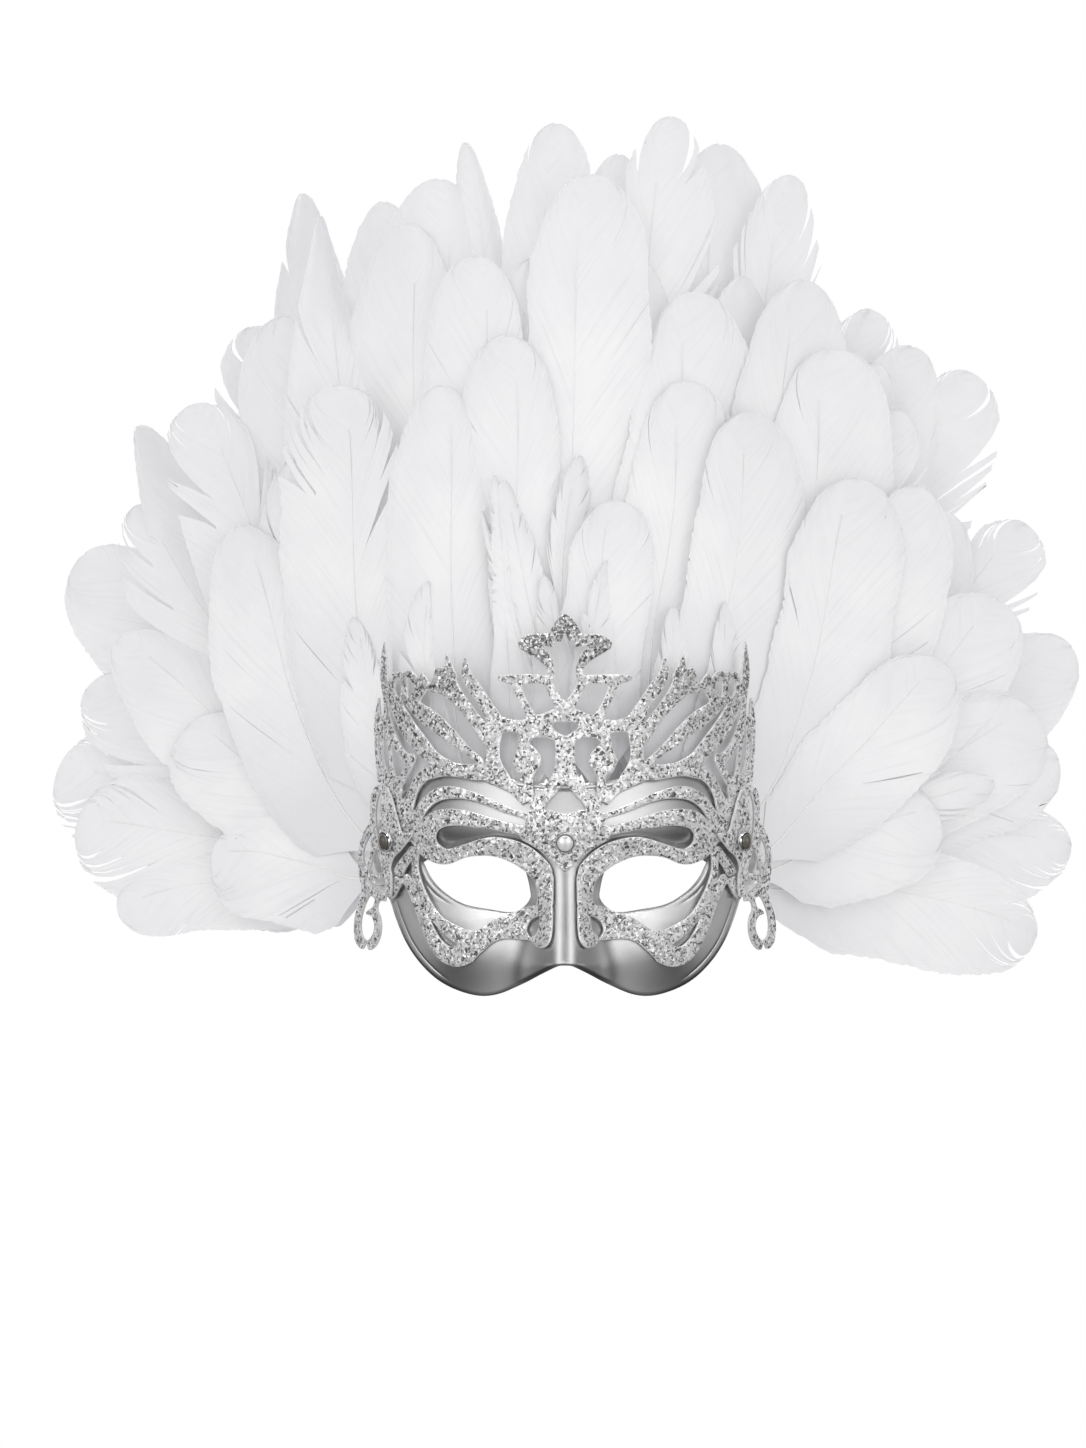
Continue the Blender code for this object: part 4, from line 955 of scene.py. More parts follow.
def mesh_piece(name, points, faces, material):
    """A smooth mesh from points in millimetres, riding on the part's one body."""
    mesh = bpy.data.meshes.new(name)
    mesh.from_pydata(np.asarray(points) * MM, [], [tuple(map(int, face)) for face in faces])
    mesh.shade_smooth()
    mesh.materials.append(material)
    piece = add_object(name, mesh)
    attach(piece, "root")
    return piece


def add_field(piece, label, values):
    """Keeps a value for each point of a piece, which its material reads."""
    piece.data.attributes.new(label, "FLOAT", "POINT").data.foreach_set("value", values.astype(np.float32))


def sheet_piece(name, loops, depth, thickness, rings, spacing, profile, material):
    """A pierced sheet with a shaped edge: a front and a back skin on the form, joined round every loop.
    The profile gives how far the front lies behind the form at a distance from the edge."""
    distance = distance_to(loops)
    flat, triangles, centres = triangulated(loops, filling_points(loops, rings, spacing, distance))
    triangles = triangles[within(centres, loops)]
    used = np.unique(triangles)
    flat = flat[used]
    triangles = np.searchsorted(used, triangles)
    lines = boundary_lines(triangles)
    away = np.array([distance(*p) for p in flat])
    away[[i for line in lines for i in line]] = 0
    skins = [lifted(depth, flat, profile(away, flat)), lifted(depth, flat, thickness)]
    count = len(flat)
    faces = [tuple(face) for face in triangles] + [tuple(face[::-1] + count) for face in triangles]
    for line in lines:
        faces += [(b, a, a + count, b + count) for a, b in zip(line, line[1:] + line[:1])]
    piece = mesh_piece(name, np.concatenate(skins), faces, material)
    add_field(piece, "rim", np.tile(away, 2))
    # The glitter's painted light and shade, which its material reads.
    add_field(piece, "shade", np.tile(glitter_painted_light(flat), 2))
    piece.data.set_sharp_from_angle(angle=SHARP_EDGE)
    return piece


def build_sheets(materials):
    """The moulded shell, and the crown and the wings in glitter."""
    moulding = (SHELL_THICKNESS, SHELL_RINGS, SHELL_GRID, shell_lip, materials["satin"])
    glitter = (SHEET_THICKNESS, SHEET_RINGS, SHEET_GRID, sheet_edge, materials["glitter"])
    sheets = [
        ("shell_moulding", shell_loops(), shell_depth, moulding, "mask_shell", "satin_silver"),
        ("crown_sheet", crown_loops(), crown_depth, glitter, "crown_filigree", "glitter"),
    ]
    for word, side in SIDES.items():
        name, solid = f"wing_sheet_{word}", f"wing_{word}"
        sheets.append((name, wing_loops(side), wing_depth, glitter, solid, "glitter"))
    for name, loops, depth, make, solid, slot in sheets:
        sheet = sheet_piece(name, loops, depth, *make)
        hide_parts(solid)


# Feathers

def root_point(angle):
    """Where a feather's quill meets the glue band, by its angle from the top."""
    turn = np.radians(angle)
    return np.array([BAND_HALF_LENGTH * np.sin(turn), BAND_CENTRE_UP + BAND_HEIGHT * np.cos(turn)])


def feather_line(feather, sway=0.0):
    """Functions that give points along the middle of a feather, and the unit vector to its right there. It
    also gives the length."""
    angle, tip_across, tip_up, _, bow = feather
    root, tip = root_point(angle), np.array([tip_across, tip_up], float)
    run = tip - root
    length = np.linalg.norm(run)
    beside = np.array([run[1], -run[0]]) / length

    def middle(along):
        along = np.asarray(along, float)[..., None]
        bend = -bow * np.sin(math.pi * np.minimum(along, 1)) + sway * np.sin(2 * math.pi * along)
        return root + run * along + beside * length * bend

    def right(along):
        return -left_of(middle(np.minimum(along + HEADING_STEP, 1)) - middle(along - HEADING_STEP))

    return middle, right, length


def neighbour_room(feather, neighbours, along):
    """How far it is from points along a feather to the nearest neighbour on its own ply."""
    centre = feather_line(feather)[0](along)
    lines = np.concatenate([feather_line(other)[0](np.linspace(0, 1, LINE_POINTS)) for other in neighbours])
    return np.linalg.norm(centre[:, None] - lines[None], axis=2).min(axis=1)


def feather_traits(rng, feather, neighbours, row, number):
    """What is this feather's own: its widths, its tip, its bends and how its vane is split."""
    table = np.linspace(0, 1, WIDTH_POINTS)
    room = neighbour_room(feather, neighbours, table) * VANE_OVERLAP
    solid = np.interp(table, *zip(*FEATHER_STATIONS)) * feather[3] / 2
    full = np.interp(table, *zip(*DOWN_STATIONS)) * feather[3] / 2 * VANE_WIDENING
    tip = TIPS["pointed" if number in POINTED[row] else "round"]
    turned = number in TURNED.get(row, ())
    return {
        "half": np.maximum(solid, np.minimum(full, room)),
        "tip_from": rng.uniform(*tip["from"]),
        "tip_power": rng.uniform(*tip["power"]),
        "tip_lean": rng.uniform(-TIP_LEAN, TIP_LEAN),
        "sway": rng.uniform(-SWAY, SWAY),
        "turn": TURNED_OVER if turned else rng.uniform(-TIP_TURN, TIP_TURN),
        "curl": rng.uniform(*CURLS) * TIP_CURL,
        "waves": rng.uniform(0, 2 * math.pi, WAVE_COUNT),
        "torn": number in TORN[row],
        "quill": QUILL_RADIUS[row],
    }


def vane_half(traits, along, side):
    """Half of the width along a feather: a downy foot, a long body and a tip, uneven on its two sides."""
    half = np.interp(along, np.linspace(0, 1, WIDTH_POINTS), traits["half"])
    tip = np.clip((along - traits["tip_from"]) / (1 - traits["tip_from"]), 0, 1)
    power = traits["tip_power"] * (1 + side * traits["tip_lean"])
    return half * np.sqrt(1 - tip**power)


def split_side(rng, roots, torn):
    """How the barbs of one side lean along the feather, by row and column, and which faces are left out."""
    rows = len(roots)
    closing = (roots[1] - roots[0]) * SPLIT_CLOSING
    out = np.linspace(0, 1, FEATHER_COLUMNS + 1)
    lean = np.zeros((rows, FEATHER_COLUMNS + 1))
    missing = np.zeros((rows, FEATHER_COLUMNS), bool)
    for kind, split in SPLITS.items():
        count = rng.integers(*split["count"])
        if kind == "tear" and not torn:
            continue
        for _ in range(count):
            row = int(np.searchsorted(roots, rng.uniform(*split["along"])))
            start = rng.uniform(*split["start"])
            share = np.clip((out - start) / (split["end"] - start), 0, 1)
            profile = share if split["end"] == 1.0 else np.sin(math.pi * share)
            gape = min(rng.exponential(split["gape"]) + split["gape"] * LEAST_GAPE, WIDEST_GAPE)
            gone = (out[1:] > start) & (out[:-1] < split["end"])
            beside = np.append(gone, False) | np.insert(gone, 0, False)
            steps = np.arange(rows) - row - 0.5
            pull = np.sign(steps) * gape / 2 * np.exp(-(np.abs(steps) - 0.5) / SPLIT_REACH)
            lean += pull[:, None] * profile[None]
            lean[row] += beside * closing
            lean[row + 1] -= beside * closing
            missing[row] |= gone
    return lean, missing


def wave(shape, along, out, start):
    height, pace_along, pace_out = shape
    return height * np.sin(pace_along * along + pace_out * out + start)


def vane_relief(along, out, waves, room):
    """How far the vane lies out of its ply: cambered, folded, pleated, rippled and tilted over its
    neighbour."""
    camber = CAMBER * (out**2 - CAMBER_LEVEL)
    fold = wave(FOLD, along, out, waves[0]) * out
    ripple = (wave(RIPPLE, along, out, waves[1]) + wave(PLEAT, along, out, waves[2])) * np.abs(out)
    tilt = (SHINGLE + TWIST * np.sin(waves[3])) * out
    shaped = (camber + fold + ripple) * smooth_step(along, *SHAPE_STARTS)
    return (shaped + tilt * smooth_step(along, *TILT_STARTS)) * room


def quill_shift(feather, along):
    """The quill runs off the middle of the feather, nearer its inner edge, as a share of the half width."""
    outward = 1 if feather[1] > root_point(feather[0])[0] else -1
    return -outward * QUILL_OFFSET * smooth_step(along, *QUILL_SHIFTS)


def vane_side(feather, traits, roots, side, rng):
    """One side of a vane, by row and from the quill outward: the place of each point, its share of the
    length, and how far it is turned out of the ply. It also gives which faces are missing."""
    middle, right, length = feather_line(feather, traits["sway"])
    sweep = np.minimum(BARB_SWEEP * vane_half(traits, roots, side) / length, (1 - roots) * BARB_ROOM)
    lean, missing = split_side(rng, roots, traits["torn"])
    waves = EDGE_WAVE * np.sin(roots * rng.uniform(*EDGE_WAVES) + rng.uniform(*EDGE_WAVE_STARTS))
    frays = EDGE_NOISE * rng.uniform(-1, 1, FEATHER_ROWS) * (1 + smooth_step(roots, *TIP_FRAYS))
    columns = []
    for k, out in enumerate(np.linspace(0, 1, FEATHER_COLUMNS + 1)):
        along = roots + sweep * out**BARB_BEND
        crowding = np.clip(np.gradient(along) * FEATHER_ROWS, 0, 1)
        along = np.clip(along + lean[:, k] * crowding, 0, 1)
        shift = quill_shift(feather, along)
        offset = vane_half(traits, along, side) * (shift + side * out * (1 - side * shift))
        offset *= 1 + (waves + frays) * out**3
        turn = traits["turn"] * smooth_step(along, *TIP_TURNS)
        flat = middle(along) + right(along) * (offset * np.cos(turn))[:, None]
        columns.append(np.column_stack([flat, along, offset * np.sin(turn)]))
    return np.stack(columns, axis=1), missing


def mark_barbs(piece, out, lengthwise):
    """Coordinates that follow the barbs, which the vane's material reads."""
    corners = np.zeros(len(piece.data.loops), dtype=np.int32)
    piece.data.loops.foreach_get("vertex_index", corners)
    marks = np.stack([out, lengthwise], axis=1)[corners]
    piece.data.uv_layers.new(name="barbs").data.foreach_set("uv", marks.ravel().astype(np.float32))


def vane_piece(name, feather, traits, ply, rng, material):
    """One feather's vane: a grid whose rows follow the barbs, split in places."""
    roots = VANE_END * np.linspace(0, 1, FEATHER_ROWS)
    left, gone_left = vane_side(feather, traits, roots, -1, rng)
    right, gone_right = vane_side(feather, traits, roots, 1, rng)
    grid = np.concatenate([left[:, :0:-1], right], axis=1)
    columns = grid.shape[1]
    across, up, along, turned = grid.reshape(-1, grid.shape[2]).T
    out = np.tile(np.linspace(-1, 1, columns), FEATHER_ROWS)
    length = feather_line(feather)[2]
    curl = traits["curl"] * np.maximum(along - TIP_CURLS_FROM, 0) ** 2 * length
    every_other = np.arange(FEATHER_ROWS) % 2
    ridges = np.repeat(BARB_RELIEF * every_other * (1 - smooth_step(roots, *RIDGES_END)), columns)
    relief = vane_relief(along, out, traits["waves"], ply_room(across, up))
    depth = ply_depth(across, up, ply) + relief + curl + ridges + turned
    kept = ~np.concatenate([gone_left[:, ::-1], gone_right], axis=1)[:-1]
    corners = [row * columns + column for row, column in np.argwhere(kept).tolist()]
    faces = [(corner, corner + 1, corner + columns + 1, corner + columns) for corner in corners]
    piece = mesh_piece(name, np.stack([across, depth, up], axis=1), faces, material)
    add_field(piece, "along", along)
    lengthwise = np.repeat(roots, columns) * length / BARB_MARK_LENGTH + rng.uniform(*BARB_MARK_STARTS)
    mark_barbs(piece, out, lengthwise)
    return piece


def thicken(vanes):
    """Gives flat vanes their thickness, with sharp rims so that the smooth shading doesn't turn at their
    edges."""
    for vane in vanes:
        solidify = vane.modifiers.new("vane", "SOLIDIFY")
        solidify.thickness = VANE_THICKNESS * MM
        solidify.offset = 0
    graph = bpy.context.evaluated_depsgraph_get()
    for vane in vanes:
        solid = bpy.data.meshes.new_from_object(
            vane.evaluated_get(graph), preserve_all_data_layers=True, depsgraph=graph
        )
        vane.modifiers.clear()
        vane.data = solid
        solid.set_sharp_from_angle(angle=SHARP_EDGE)


def ring_faces(rings, sides):
    """Four-sided faces between rings of points that follow each other."""
    made = []
    for ring in range(rings - 1):
        for k in range(sides):
            a, b = ring * sides + k, ring * sides + (k + 1) % sides
            made.append((a, b, b + sides, a + sides))
    return made


def tube_piece(name, line, half_sizes, ply, behind, sides, material):
    """A closed tube along a line, some way behind a ply. The line has points and the ways beside them, and
    the half sizes are a width and a depth for each point."""
    (centre, beside), (half_width, half_depth) = line, half_sizes
    rings = []
    for turn in whole_turn(sides):
        flat = centre + beside * (half_width * math.cos(turn))[:, None]
        depth = ply_depth(flat[:, 0], flat[:, 1], ply) + behind + half_depth * math.sin(turn)
        rings.append(np.stack([flat[:, 0], depth, flat[:, 1]], axis=1))
    points = np.stack(rings, axis=1).reshape(-1, 3)
    ends = [tuple(range(sides))[::-1], tuple(range(len(points) - sides, len(points)))]
    return mesh_piece(name, points, ends + ring_faces(len(centre), sides), material)


def quill_piece(name, feather, traits, ply, material):
    """The quill: a tapered tube along the feather, a little proud of its vane."""
    middle, right, _ = feather_line(feather, traits["sway"])
    along = np.linspace(0, QUILL_END, QUILL_RINGS)
    radius = traits["quill"] + (QUILL_END_RADIUS - traits["quill"]) * (along / QUILL_END) ** QUILL_TAPER
    beside = right(along)
    shift = vane_half(traits, along, 1) * quill_shift(feather, along)
    centre = middle(along) + beside * shift[:, None]
    turned = shift * np.sin(traits["turn"] * smooth_step(along, *TIP_TURNS))
    relief = vane_relief(along, np.zeros(QUILL_RINGS), traits["waves"], ply_room(*centre.T))
    behind = relief + turned - QUILL_RISE * radius
    return tube_piece(name, (centre, beside), (radius, radius), ply, behind, QUILL_SIDES, material)


def band_piece(name, first, last, ply, material):
    """A bead of glue along the quills' ends, a little lumpy."""
    reach = BAND_STEP / 3
    angles = np.append(np.arange(first, last - reach, BAND_STEP), last)
    beside = left_of((root_point(angles + reach) - root_point(angles - reach)).T)
    lumps = [height * np.sin(np.radians(angles) * pace + shift * ply) for height, pace, shift in BAND_LUMPS]
    to_end = np.minimum(angles - first, last - angles)
    size = (1 + sum(lumps)) * np.minimum(1, BAND_END_SIZE + to_end / BAND_ROUNDING)
    line = root_point(angles).T, beside
    half_sizes = BAND_WIDTH / 2 * size, BAND_THICKNESS / 2 * size
    return tube_piece(name, line, half_sizes, ply, 0, BAND_SIDES, material)


def build_feather(row, number, feather, neighbours, ply, seed, solid, materials):
    """One feather in its place: its vane, which is returned, and its quill."""
    rng = np.random.default_rng(seed)
    traits = feather_traits(rng, feather, neighbours, row, number)
    vane = vane_piece(f"feather_{row}_{number:02d}", feather, traits, ply, rng, materials["vane"])
    quill = quill_piece(f"quill_{row}_{number:02d}", feather, traits, ply, materials["quill"])
    for piece in (vane, quill):
        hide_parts(solid)
    return vane


def build_row(row, row_name, materials):
    """A row's three glue bands and its feathers, which take turns on two plies. It gives the vanes."""
    feathers = FEATHERS[row_name]
    limits = {
        "left": (feathers[0][0] - BAND_END, -SECTOR_EDGE - SECTOR_GAP),
        "top": (-SECTOR_EDGE + SECTOR_GAP, SECTOR_EDGE - SECTOR_GAP),
        "right": (SECTOR_EDGE + SECTOR_GAP, feathers[-1][0] + BAND_END),
    }
    for sector, (first, last) in limits.items():
        band = band_piece(f"glue_{row_name}_{sector}", first, last, 2 * row + 0.5, materials["glue"])
        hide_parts(f"feathers_{row_name}_{sector}")
    vanes = []
    for index, feather in enumerate(feathers):
        sector = next(s for s, (first, last) in limits.items() if first < feather[0] < last)
        neighbours = [feathers[i] for i in (index - 2, index + 2) if 0 <= i < len(feathers)]
        vanes.append(build_feather(
            row_name, index + 1, feather, neighbours, 2 * row + index % 2, ROW_SEEDS * row + index,
            f"feathers_{row_name}_{sector}", materials,
        ))
    return vanes


def build_small_feathers(materials):
    vanes = []
    for index, feather in enumerate(SMALL_FEATHERS):
        neighbours = [other for other in SMALL_FEATHERS if other is not feather]
        sector = "top" if abs(feather[0]) < SECTOR_EDGE else "left"
        vanes.append(build_feather(
            "small", index + 1, feather, neighbours, SMALL_PLY, SMALL_SEEDS + index,
            f"feathers_front_{sector}", materials,
        ))
    return vanes


# Stones

def turned_piece(name, profile, material):
    """A piece turned about Z, from a profile of (radius, height)."""
    turns = whole_turn(TURNED_SIDES)
    points = [(out * math.cos(turn), out * math.sin(turn), up) for out, up in profile for turn in turns]
    faces = [face[::-1] for face in ring_faces(len(profile), TURNED_SIDES)]
    piece = mesh_piece(name, points, faces, material)
    piece.data.set_sharp_from_angle(angle=TURNED_SHARP_EDGE)
    return piece


def build_stone(where, depth, centre, sheets, gem, materials):
    """A cut stone in a turned cup, on a post through a number of sheets."""
    floor = SEAT_HEIGHT + CUP_FLOOR_THICKNESS
    rim = floor + CUP_INSIDE_DEPTH
    girdle = rim + GIRDLE_ABOVE_RIM
    bezel = rim - BEZEL_SLOPE
    wall = STONE_RADIUS + CLEARANCE
    post_end = -sheets * (SHEET_THICKNESS + WING_GAP) + POST_END_GAP
    cup = [
        (ON_AXIS, floor), (wall - CUP_FILLET, floor), (wall, floor + CUP_FILLET), (wall, rim - CUP_BEVEL),
        (wall + RIM_BEVEL, rim), (wall + BEZEL_TOP, rim), (CUP_RADIUS - BEZEL_BEVEL, bezel),
        (CUP_RADIUS, bezel - CUP_BEVEL), (CUP_RADIUS, SEAT_HEIGHT + CUP_BEVEL),
        (CUP_RADIUS - CUP_BEVEL, SEAT_HEIGHT), (POST_RADIUS, SEAT_HEIGHT), (POST_RADIUS, post_end),
        (ON_AXIS, post_end),
    ]
    dome = [(math.cos(turn), math.sin(turn)) for turn in np.radians(DOME_ANGLES)]
    stone = [(max(STONE_RADIUS * out, ON_AXIS), girdle + DOME_HEIGHT * up) for out, up in dome]
    stone += [
        (STONE_RADIUS, rim - GIRDLE_BELOW_RIM),
        (STONE_RADIUS * CULET_SHARE, floor + CLEARANCE + CULET_HEIGHT), (ON_AXIS, floor + CLEARANCE),
    ]
    seat = Vector(lifted(depth, np.array([centre], float))[0]) * MM
    to_side, upward = slopes(depth, *centre)
    turn = Vector((float(to_side), -1, float(upward))).to_track_quat("Z", "Y")
    pieces = [
        (f"cup_{where}", cup, "silver", f"setting_{where}", "polished_silver"),
        (f"gem_{where}", stone, gem, f"stone_{where}", "crystal"),
    ]
    for name, profile, finish, solid, slot in pieces:
        piece = turned_piece(name, profile, materials[finish])
        piece.data.transform(Matrix.Translation(seat) @ turn.to_matrix().to_4x4())
        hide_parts(solid)


# Materials

# The colour sockets of a Mix node.
MIX_FIRST = 6
MIX_SECOND = 7
MIX_RESULT = 2


class Nodes:
    """The shader nodes of a material or a world. Most functions add one and give its result."""

    def __init__(self, tree):
        self.tree = tree

    def add(self, kind, feeds=(), **settings):
        """A node with its settings, and the values or sockets that feed it."""
        made = self.tree.nodes.new(f"ShaderNode{kind}")
        for key, value in settings.items():
            setattr(made, key, value)
        self.feed(made, dict(feeds))
        return made

    def feed(self, made, feeds):
        for name, value in feeds.items():
            if isinstance(value, bpy.types.NodeSocket):
                self.tree.links.new(value, made.inputs[name])
            else:
                made.inputs[name].default_value = value

    def field(self, name):
        """A value that a piece keeps for each of its points."""
        return self.add("Attribute", attribute_name=name).outputs["Fac"]

    def place(self):
        return self.add("TexCoord").outputs["Object"]

    def noise(self, place, scale, detail):
        return self.add("TexNoise", {"Vector": place, "Scale": scale, "Detail": detail}).outputs["Fac"]

    def ranged(self, value, given, wanted):
        """Carries values from one range over to another."""
        ends = dict(zip(("From Min", "From Max", "To Min", "To Max"), (*given, *wanted)))
        return self.add("MapRange", {"Value": value, **ends}).outputs["Result"]

    def ramp(self, value, stops):
        """A brightness, by (place, brightness) stops."""
        made = self.add("ValToRGB", {"Fac": value})
        elements = made.color_ramp.elements
        while len(elements) > 1:
            elements.remove(elements[-1])
        for i, (place, brightness) in enumerate(stops):
            element = elements[0] if i == 0 else elements.new(place)
            element.position = place
            element.color = (brightness, brightness, brightness, 1)
        return made.outputs["Color"]

    def mixed(self, factor, first, second, blend="MIX"):
        """Two colours mixed, where a colour is a socket or (red, green, blue)."""
        first, second = ((*c, 1) if isinstance(c, tuple) else c for c in (first, second))
        feeds = {"Factor": factor, MIX_FIRST: first, MIX_SECOND: second}
        return self.add("Mix", feeds, data_type="RGBA", blend_type=blend).outputs[MIX_RESULT]

    def number(self, operation, *values):
        return self.add("Math", dict(enumerate(values)), operation=operation).outputs[0]

    def vector(self, operation, *values, **named):
        return self.add("VectorMath", {**dict(enumerate(values)), **named}, operation=operation).outputs[0]

    def bumps(self, height, strength, distance):
        feeds = {"Height": height, "Strength": strength, "Distance": distance}
        return self.add("Bump", feeds).outputs["Normal"]


def new_material(name):
    made = bpy.data.materials.new(name)
    made.use_nodes = True
    return made, Nodes(made.node_tree)


def finished(material, nodes, surface):
    """The material, with its shader fed by values and sockets."""
    nodes.feed(material.node_tree.nodes["Principled BSDF"], surface)
    return material


def satin_silver():
    """Silver paint on a moulded mask: a fine orange-peel and faint patches of duller gloss."""
    material, nodes = new_material("satin silver")
    place = nodes.place()
    patches = nodes.noise(place, scale=60.0, detail=4.0)
    grain = nodes.noise(place, scale=900.0, detail=3.0)
    return finished(material, nodes, {
        "Base Color": nodes.ramp(patches, [(0.3, 0.72), (0.7, 0.82)]),
        "Metallic": 1.0,
        "Roughness": nodes.ranged(patches, (0, 1), (0.34, 0.42)),
        "Normal": nodes.bumps(grain, strength=0.12, distance=0.0002),
    })


def silver_glitter():
    """Coarse silver glitter: flakes that each lie at their own tilt, and a bright cut edge."""
    material, nodes = new_material("silver glitter")
    place = nodes.place()
    middle = (0.5, 0.5, 0.5)  # of a colour's range
    drift = nodes.add("TexNoise", {"Vector": place, "Scale": FLAKE_DRIFTS, "Detail": 1.0}).outputs["Color"]
    shift = nodes.vector("SCALE", nodes.vector("SUBTRACT", drift, middle), Scale=FLAKE_DRIFT)
    warped = nodes.vector("ADD", place, shift)
    flakes = nodes.add("TexVoronoi", {"Vector": warped, "Scale": FLAKES}).outputs["Color"]
    # The dull ramp is the flakes in painted shade and the bright ramp the flakes in painted light; the
    # painted shade that each point keeps mixes them.
    dull = nodes.ramp(flakes, [(0.0, 0.06), (0.35, 0.16), (0.55, 0.45), (0.75, 0.95)])
    bright = nodes.ramp(flakes, [(0.0, 0.04), (0.22, 0.18), (0.36, 0.8), (0.46, 1.0)])
    tone = nodes.mixed(nodes.field("shade"), dull, bright)
    rim = nodes.ranged(nodes.field("rim"), (0.05, 0.3), (0.85, 0.0))
    tilt = nodes.vector("SUBTRACT", flakes, middle)
    tilted = nodes.vector("SCALE", tilt, Scale=nodes.ranged(rim, (0, 1), (FLAKE_TILT, 0)))
    facing = nodes.add("NewGeometry").outputs["Normal"]
    return finished(material, nodes, {
        "Base Color": nodes.mixed(rim, tone, (0.97, 0.97, 0.98)),
        "Metallic": 0.4,
        "Roughness": 0.3,
        "Normal": nodes.vector("NORMALIZE", nodes.vector("ADD", facing, tilted)),
    })


def polished_silver():
    material, nodes = new_material("polished silver")
    rubbed = nodes.noise(nodes.place(), scale=500.0, detail=2.0)
    return finished(material, nodes, {
        "Base Color": (0.86, 0.86, 0.87, 1),
        "Metallic": 1.0,
        "Roughness": nodes.ranged(rubbed, (0, 1), (0.14, 0.26)),
    })


def crystal(name, darkest, lightest):
    """A clear stone on foil: the foil's glint shows through a clear coat."""
    material, nodes = new_material(name)
    flaws = nodes.noise(nodes.place(), scale=300.0, detail=1.0)
    return finished(material, nodes, {
        "Base Color": nodes.mixed(flaws, darkest, lightest),
        "Metallic": 0.35,
        "Roughness": 0.08,
        "Coat Weight": 1.0,
        "Coat Roughness": 0.02,
    })


def plain_white(name, colour, roughness, mottles):
    """A near-white finish with a faint mottle, for the quills and the glue."""
    material, nodes = new_material(name)
    mottle = nodes.noise(nodes.place(), scale=mottles, detail=3.0)
    darker = tuple(MOTTLE * part for part in colour)
    return finished(material, nodes, {
        "Base Color": nodes.mixed(mottle, darker, colour),
        "Roughness": roughness,
    })


def vane_colour(nodes, barbs, along):
    """White, a little cloudy and streaked along the barbs, with painted shade greying its foot and tip."""
    clouds = nodes.noise(nodes.place(), scale=45.0, detail=3.0)
    streaks = nodes.noise(nodes.vector("MULTIPLY", barbs, STREAKS), scale=2.0, detail=4.0)
    cloudy = nodes.mixed(clouds, (0.89, 0.89, 0.915), (1.0, 1.0, 1.0))
    streaked = nodes.ramp(streaks, [(0.3, 0.93), (0.45, 0.98), (0.6, 0.99), (0.72, 1.0)])
    # Painted shade: the tip and the foot turn grey, for the shade that the feathers about them cast.
    tip = nodes.ranged(along, (0.7, 1.0), (0.0, 0.5))
    foot = nodes.ranged(along, (0.2, 0.55), (0.9, 0.0))
    white = nodes.mixed(1.0, cloudy, streaked, "MULTIPLY")
    return nodes.mixed(nodes.number("MAXIMUM", tip, foot), white, (0.8, 0.795, 0.82))


def vane_cover(nodes, barbs, along):
    """How much a vane hides: less towards its edge and tip, and much less for stray light."""
    beside = nodes.number("ABSOLUTE", nodes.add("SeparateXYZ", {0: barbs}).outputs["X"])
    edge = nodes.number("MAXIMUM", beside, nodes.ranged(along, (0.95, 1.0), (0, 1)))
    weave = nodes.ramp(edge, [(0.5, 1.0), (0.85, 0.95), (1.0, 0.75)])
    rays = nodes.add("LightPath").outputs
    stray = nodes.number("MAXIMUM", rays["Is Diffuse Ray"], rays["Is Shadow Ray"])
    return nodes.number("MULTIPLY", weave, nodes.ranged(stray, (0, 1), (1, LIGHT_STOPPED)))


def feather_vane():
    """White vanes with fine ridges along the barbs."""
    material, nodes = new_material("feather vane")
    barbs = nodes.add("UVMap", uv_map="barbs").outputs["UV"]
    along = nodes.field("along")
    ridges = nodes.noise(nodes.vector("MULTIPLY", barbs, RIDGES), scale=2.0, detail=2.0)
    return finished(material, nodes, {
        "Base Color": vane_colour(nodes, barbs, along),
        "Roughness": 0.75,
        "Specular IOR Level": 0.2,
        "Sheen Weight": 0.1,
        "Alpha": vane_cover(nodes, barbs, along),
        "Normal": nodes.bumps(ridges, strength=0.25, distance=0.0003),
    })


# Stage

def add_camera():
    data = bpy.data.cameras.new("camera")
    data.sensor_width = SENSOR
    data.lens = SENSOR * VIEW_DISTANCE / VIEW_HEIGHT
    data.clip_end = VIEW_REACH
    camera = add_object("camera", data)
    camera.location = (VIEW_CENTRE[0] * MM, -VIEW_DISTANCE * MM, VIEW_CENTRE[1] * MM)
    camera.rotation_euler = (math.radians(90), 0, 0)
    bpy.context.scene.camera = camera


def add_floor():
    near, far = -FLOOR_SIDE, FLOOR_BACK
    places = [(-FLOOR_SIDE, near), (FLOOR_SIDE, near), (FLOOR_SIDE, far), (-FLOOR_SIDE, far)]
    mesh = bpy.data.meshes.new("floor")
    mesh.from_pydata([(x, y, FLOOR_UP) for x, y in places], [], [(0, 1, 2, 3)])
    material, nodes = new_material("pale floor")
    mesh.materials.append(finished(material, nodes, {"Base Color": (0.88, 0.88, 0.88, 1), "Roughness": 0.9}))
    floor = add_object("floor", mesh)
    floor.visible_glossy = False


def add_light(name, place, size, power):
    data = bpy.data.lights.new(name, "AREA")
    data.shape = "DISK"
    data.size = size
    data.energy = power
    light = add_object(name, data)
    light.location = place
    light.rotation_euler = (Vector(LIGHT_TARGET) - Vector(place)).to_track_quat("-Z", "Y").to_euler()
    light.visible_glossy = False


def toward(nodes, way, centre, edge, values):
    """A round patch of the studio: the first value outside its soft edge, and the second inside."""
    ways = {0: way, 1: tuple(Vector(centre).normalized())}
    nearness = nodes.add("VectorMath", ways, operation="DOT_PRODUCT").outputs["Value"]
    return nodes.ranged(nearness, edge, values)


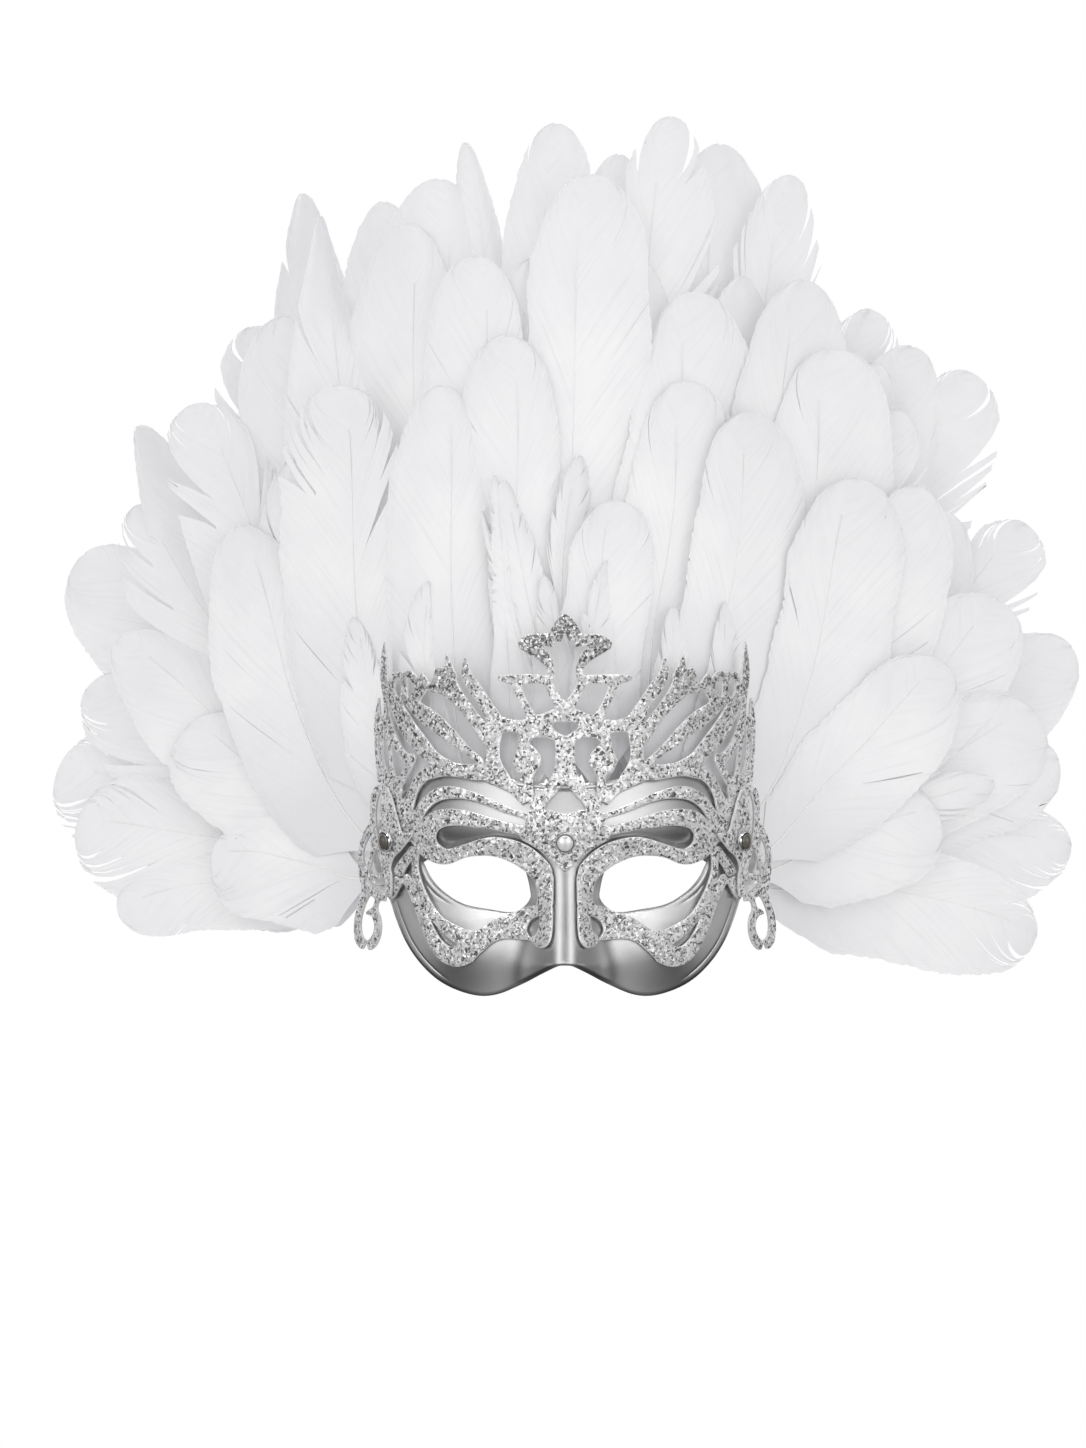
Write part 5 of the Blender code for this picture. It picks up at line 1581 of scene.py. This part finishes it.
def add_world():
    """White to the eye, even light on matt surfaces, and a studio of soft boxes and dark flags for silver."""
    world = bpy.data.worlds.new("studio")
    world.use_nodes = True
    bpy.context.scene.world = world
    world.node_tree.nodes.clear()
    nodes = Nodes(world.node_tree)
    way = nodes.add("TexCoord").outputs["Generated"]
    parts = nodes.add("SeparateXYZ", {0: way}).outputs
    studio = nodes.ramp(nodes.number("ABSOLUTE", parts["X"]), STUDIO_SIDES)
    shades = [
        nodes.ramp(nodes.ranged(parts["Z"], (-1, 1), (0, 1)), STUDIO_HEIGHT),
        nodes.ramp(nodes.ranged(parts["Y"], (1, -1), (0, 1)), STUDIO_FRONT),
        toward(nodes, way, FLAG_WAY, FLAG_EDGE, (1, FLAG_SHADE)),
    ]
    for shade in shades:
        studio = nodes.mixed(1.0, studio, shade, "MULTIPLY")
    lit = nodes.mixed(1.0, studio, toward(nodes, way, LAMP_WAY, LAMP_EDGE, (0, LAMP_LIGHT)), "ADD")
    white = (1, 1, 1, 1)
    seen, matt, mirrored = (
        nodes.add("Background", {"Color": colour, "Strength": strength}).outputs[0]
        for colour, strength in ((white, 1), (white, ROOM_LIGHT), (lit, STUDIO_LIGHT))
    )
    rays = nodes.add("LightPath").outputs
    unseen = nodes.add("MixShader", {0: rays["Is Glossy Ray"], 1: matt, 2: mirrored}).outputs[0]
    whole = nodes.add("MixShader", {0: rays["Is Camera Ray"], 1: unseen, 2: seen})
    nodes.add("OutputWorld", {"Surface": whole.outputs[0]})


def main():
    bpy.context.scene.view_settings.view_transform = "Standard"
    add_camera()
    add_floor()
    add_world()
    for light in LIGHTS:
        add_light(*light)
    materials = {
        "satin": satin_silver(),
        "glitter": silver_glitter(),
        "silver": polished_silver(),
        "clear": crystal("clear crystal", darkest=(0.78, 0.78, 0.78), lightest=(1.0, 1.0, 1.0)),
        # The temple stones' crystal: the clear stone darkened by painted shade, for the dark surroundings
        # that it mirrors edge-on.
        "shade_darkened": crystal("smoky crystal", darkest=(0.05, 0.045, 0.04), lightest=(0.25, 0.23, 0.2)),
        "vane": feather_vane(),
        "quill": plain_white("quill", colour=(0.97, 0.95, 0.93), roughness=0.4, mottles=200.0),
        "glue": plain_white("clear white glue", colour=(0.85, 0.85, 0.84), roughness=0.35, mottles=400.0),
    }
    build_sheets(materials)
    build_stone("centre", crown_depth, CENTRE_STONE, 1, "clear", materials)
    # The temple stones take the crystal that is darkened by painted shade.
    for word, side in SIDES.items():
        build_stone(word, wing_depth, temple_stone(side), 2, "shade_darkened", materials)
    vanes = []
    for row, row_name in enumerate(FEATHERS):
        vanes += build_row(row, row_name, materials)
    vanes += build_small_feathers(materials)
    thicken(vanes)


main()
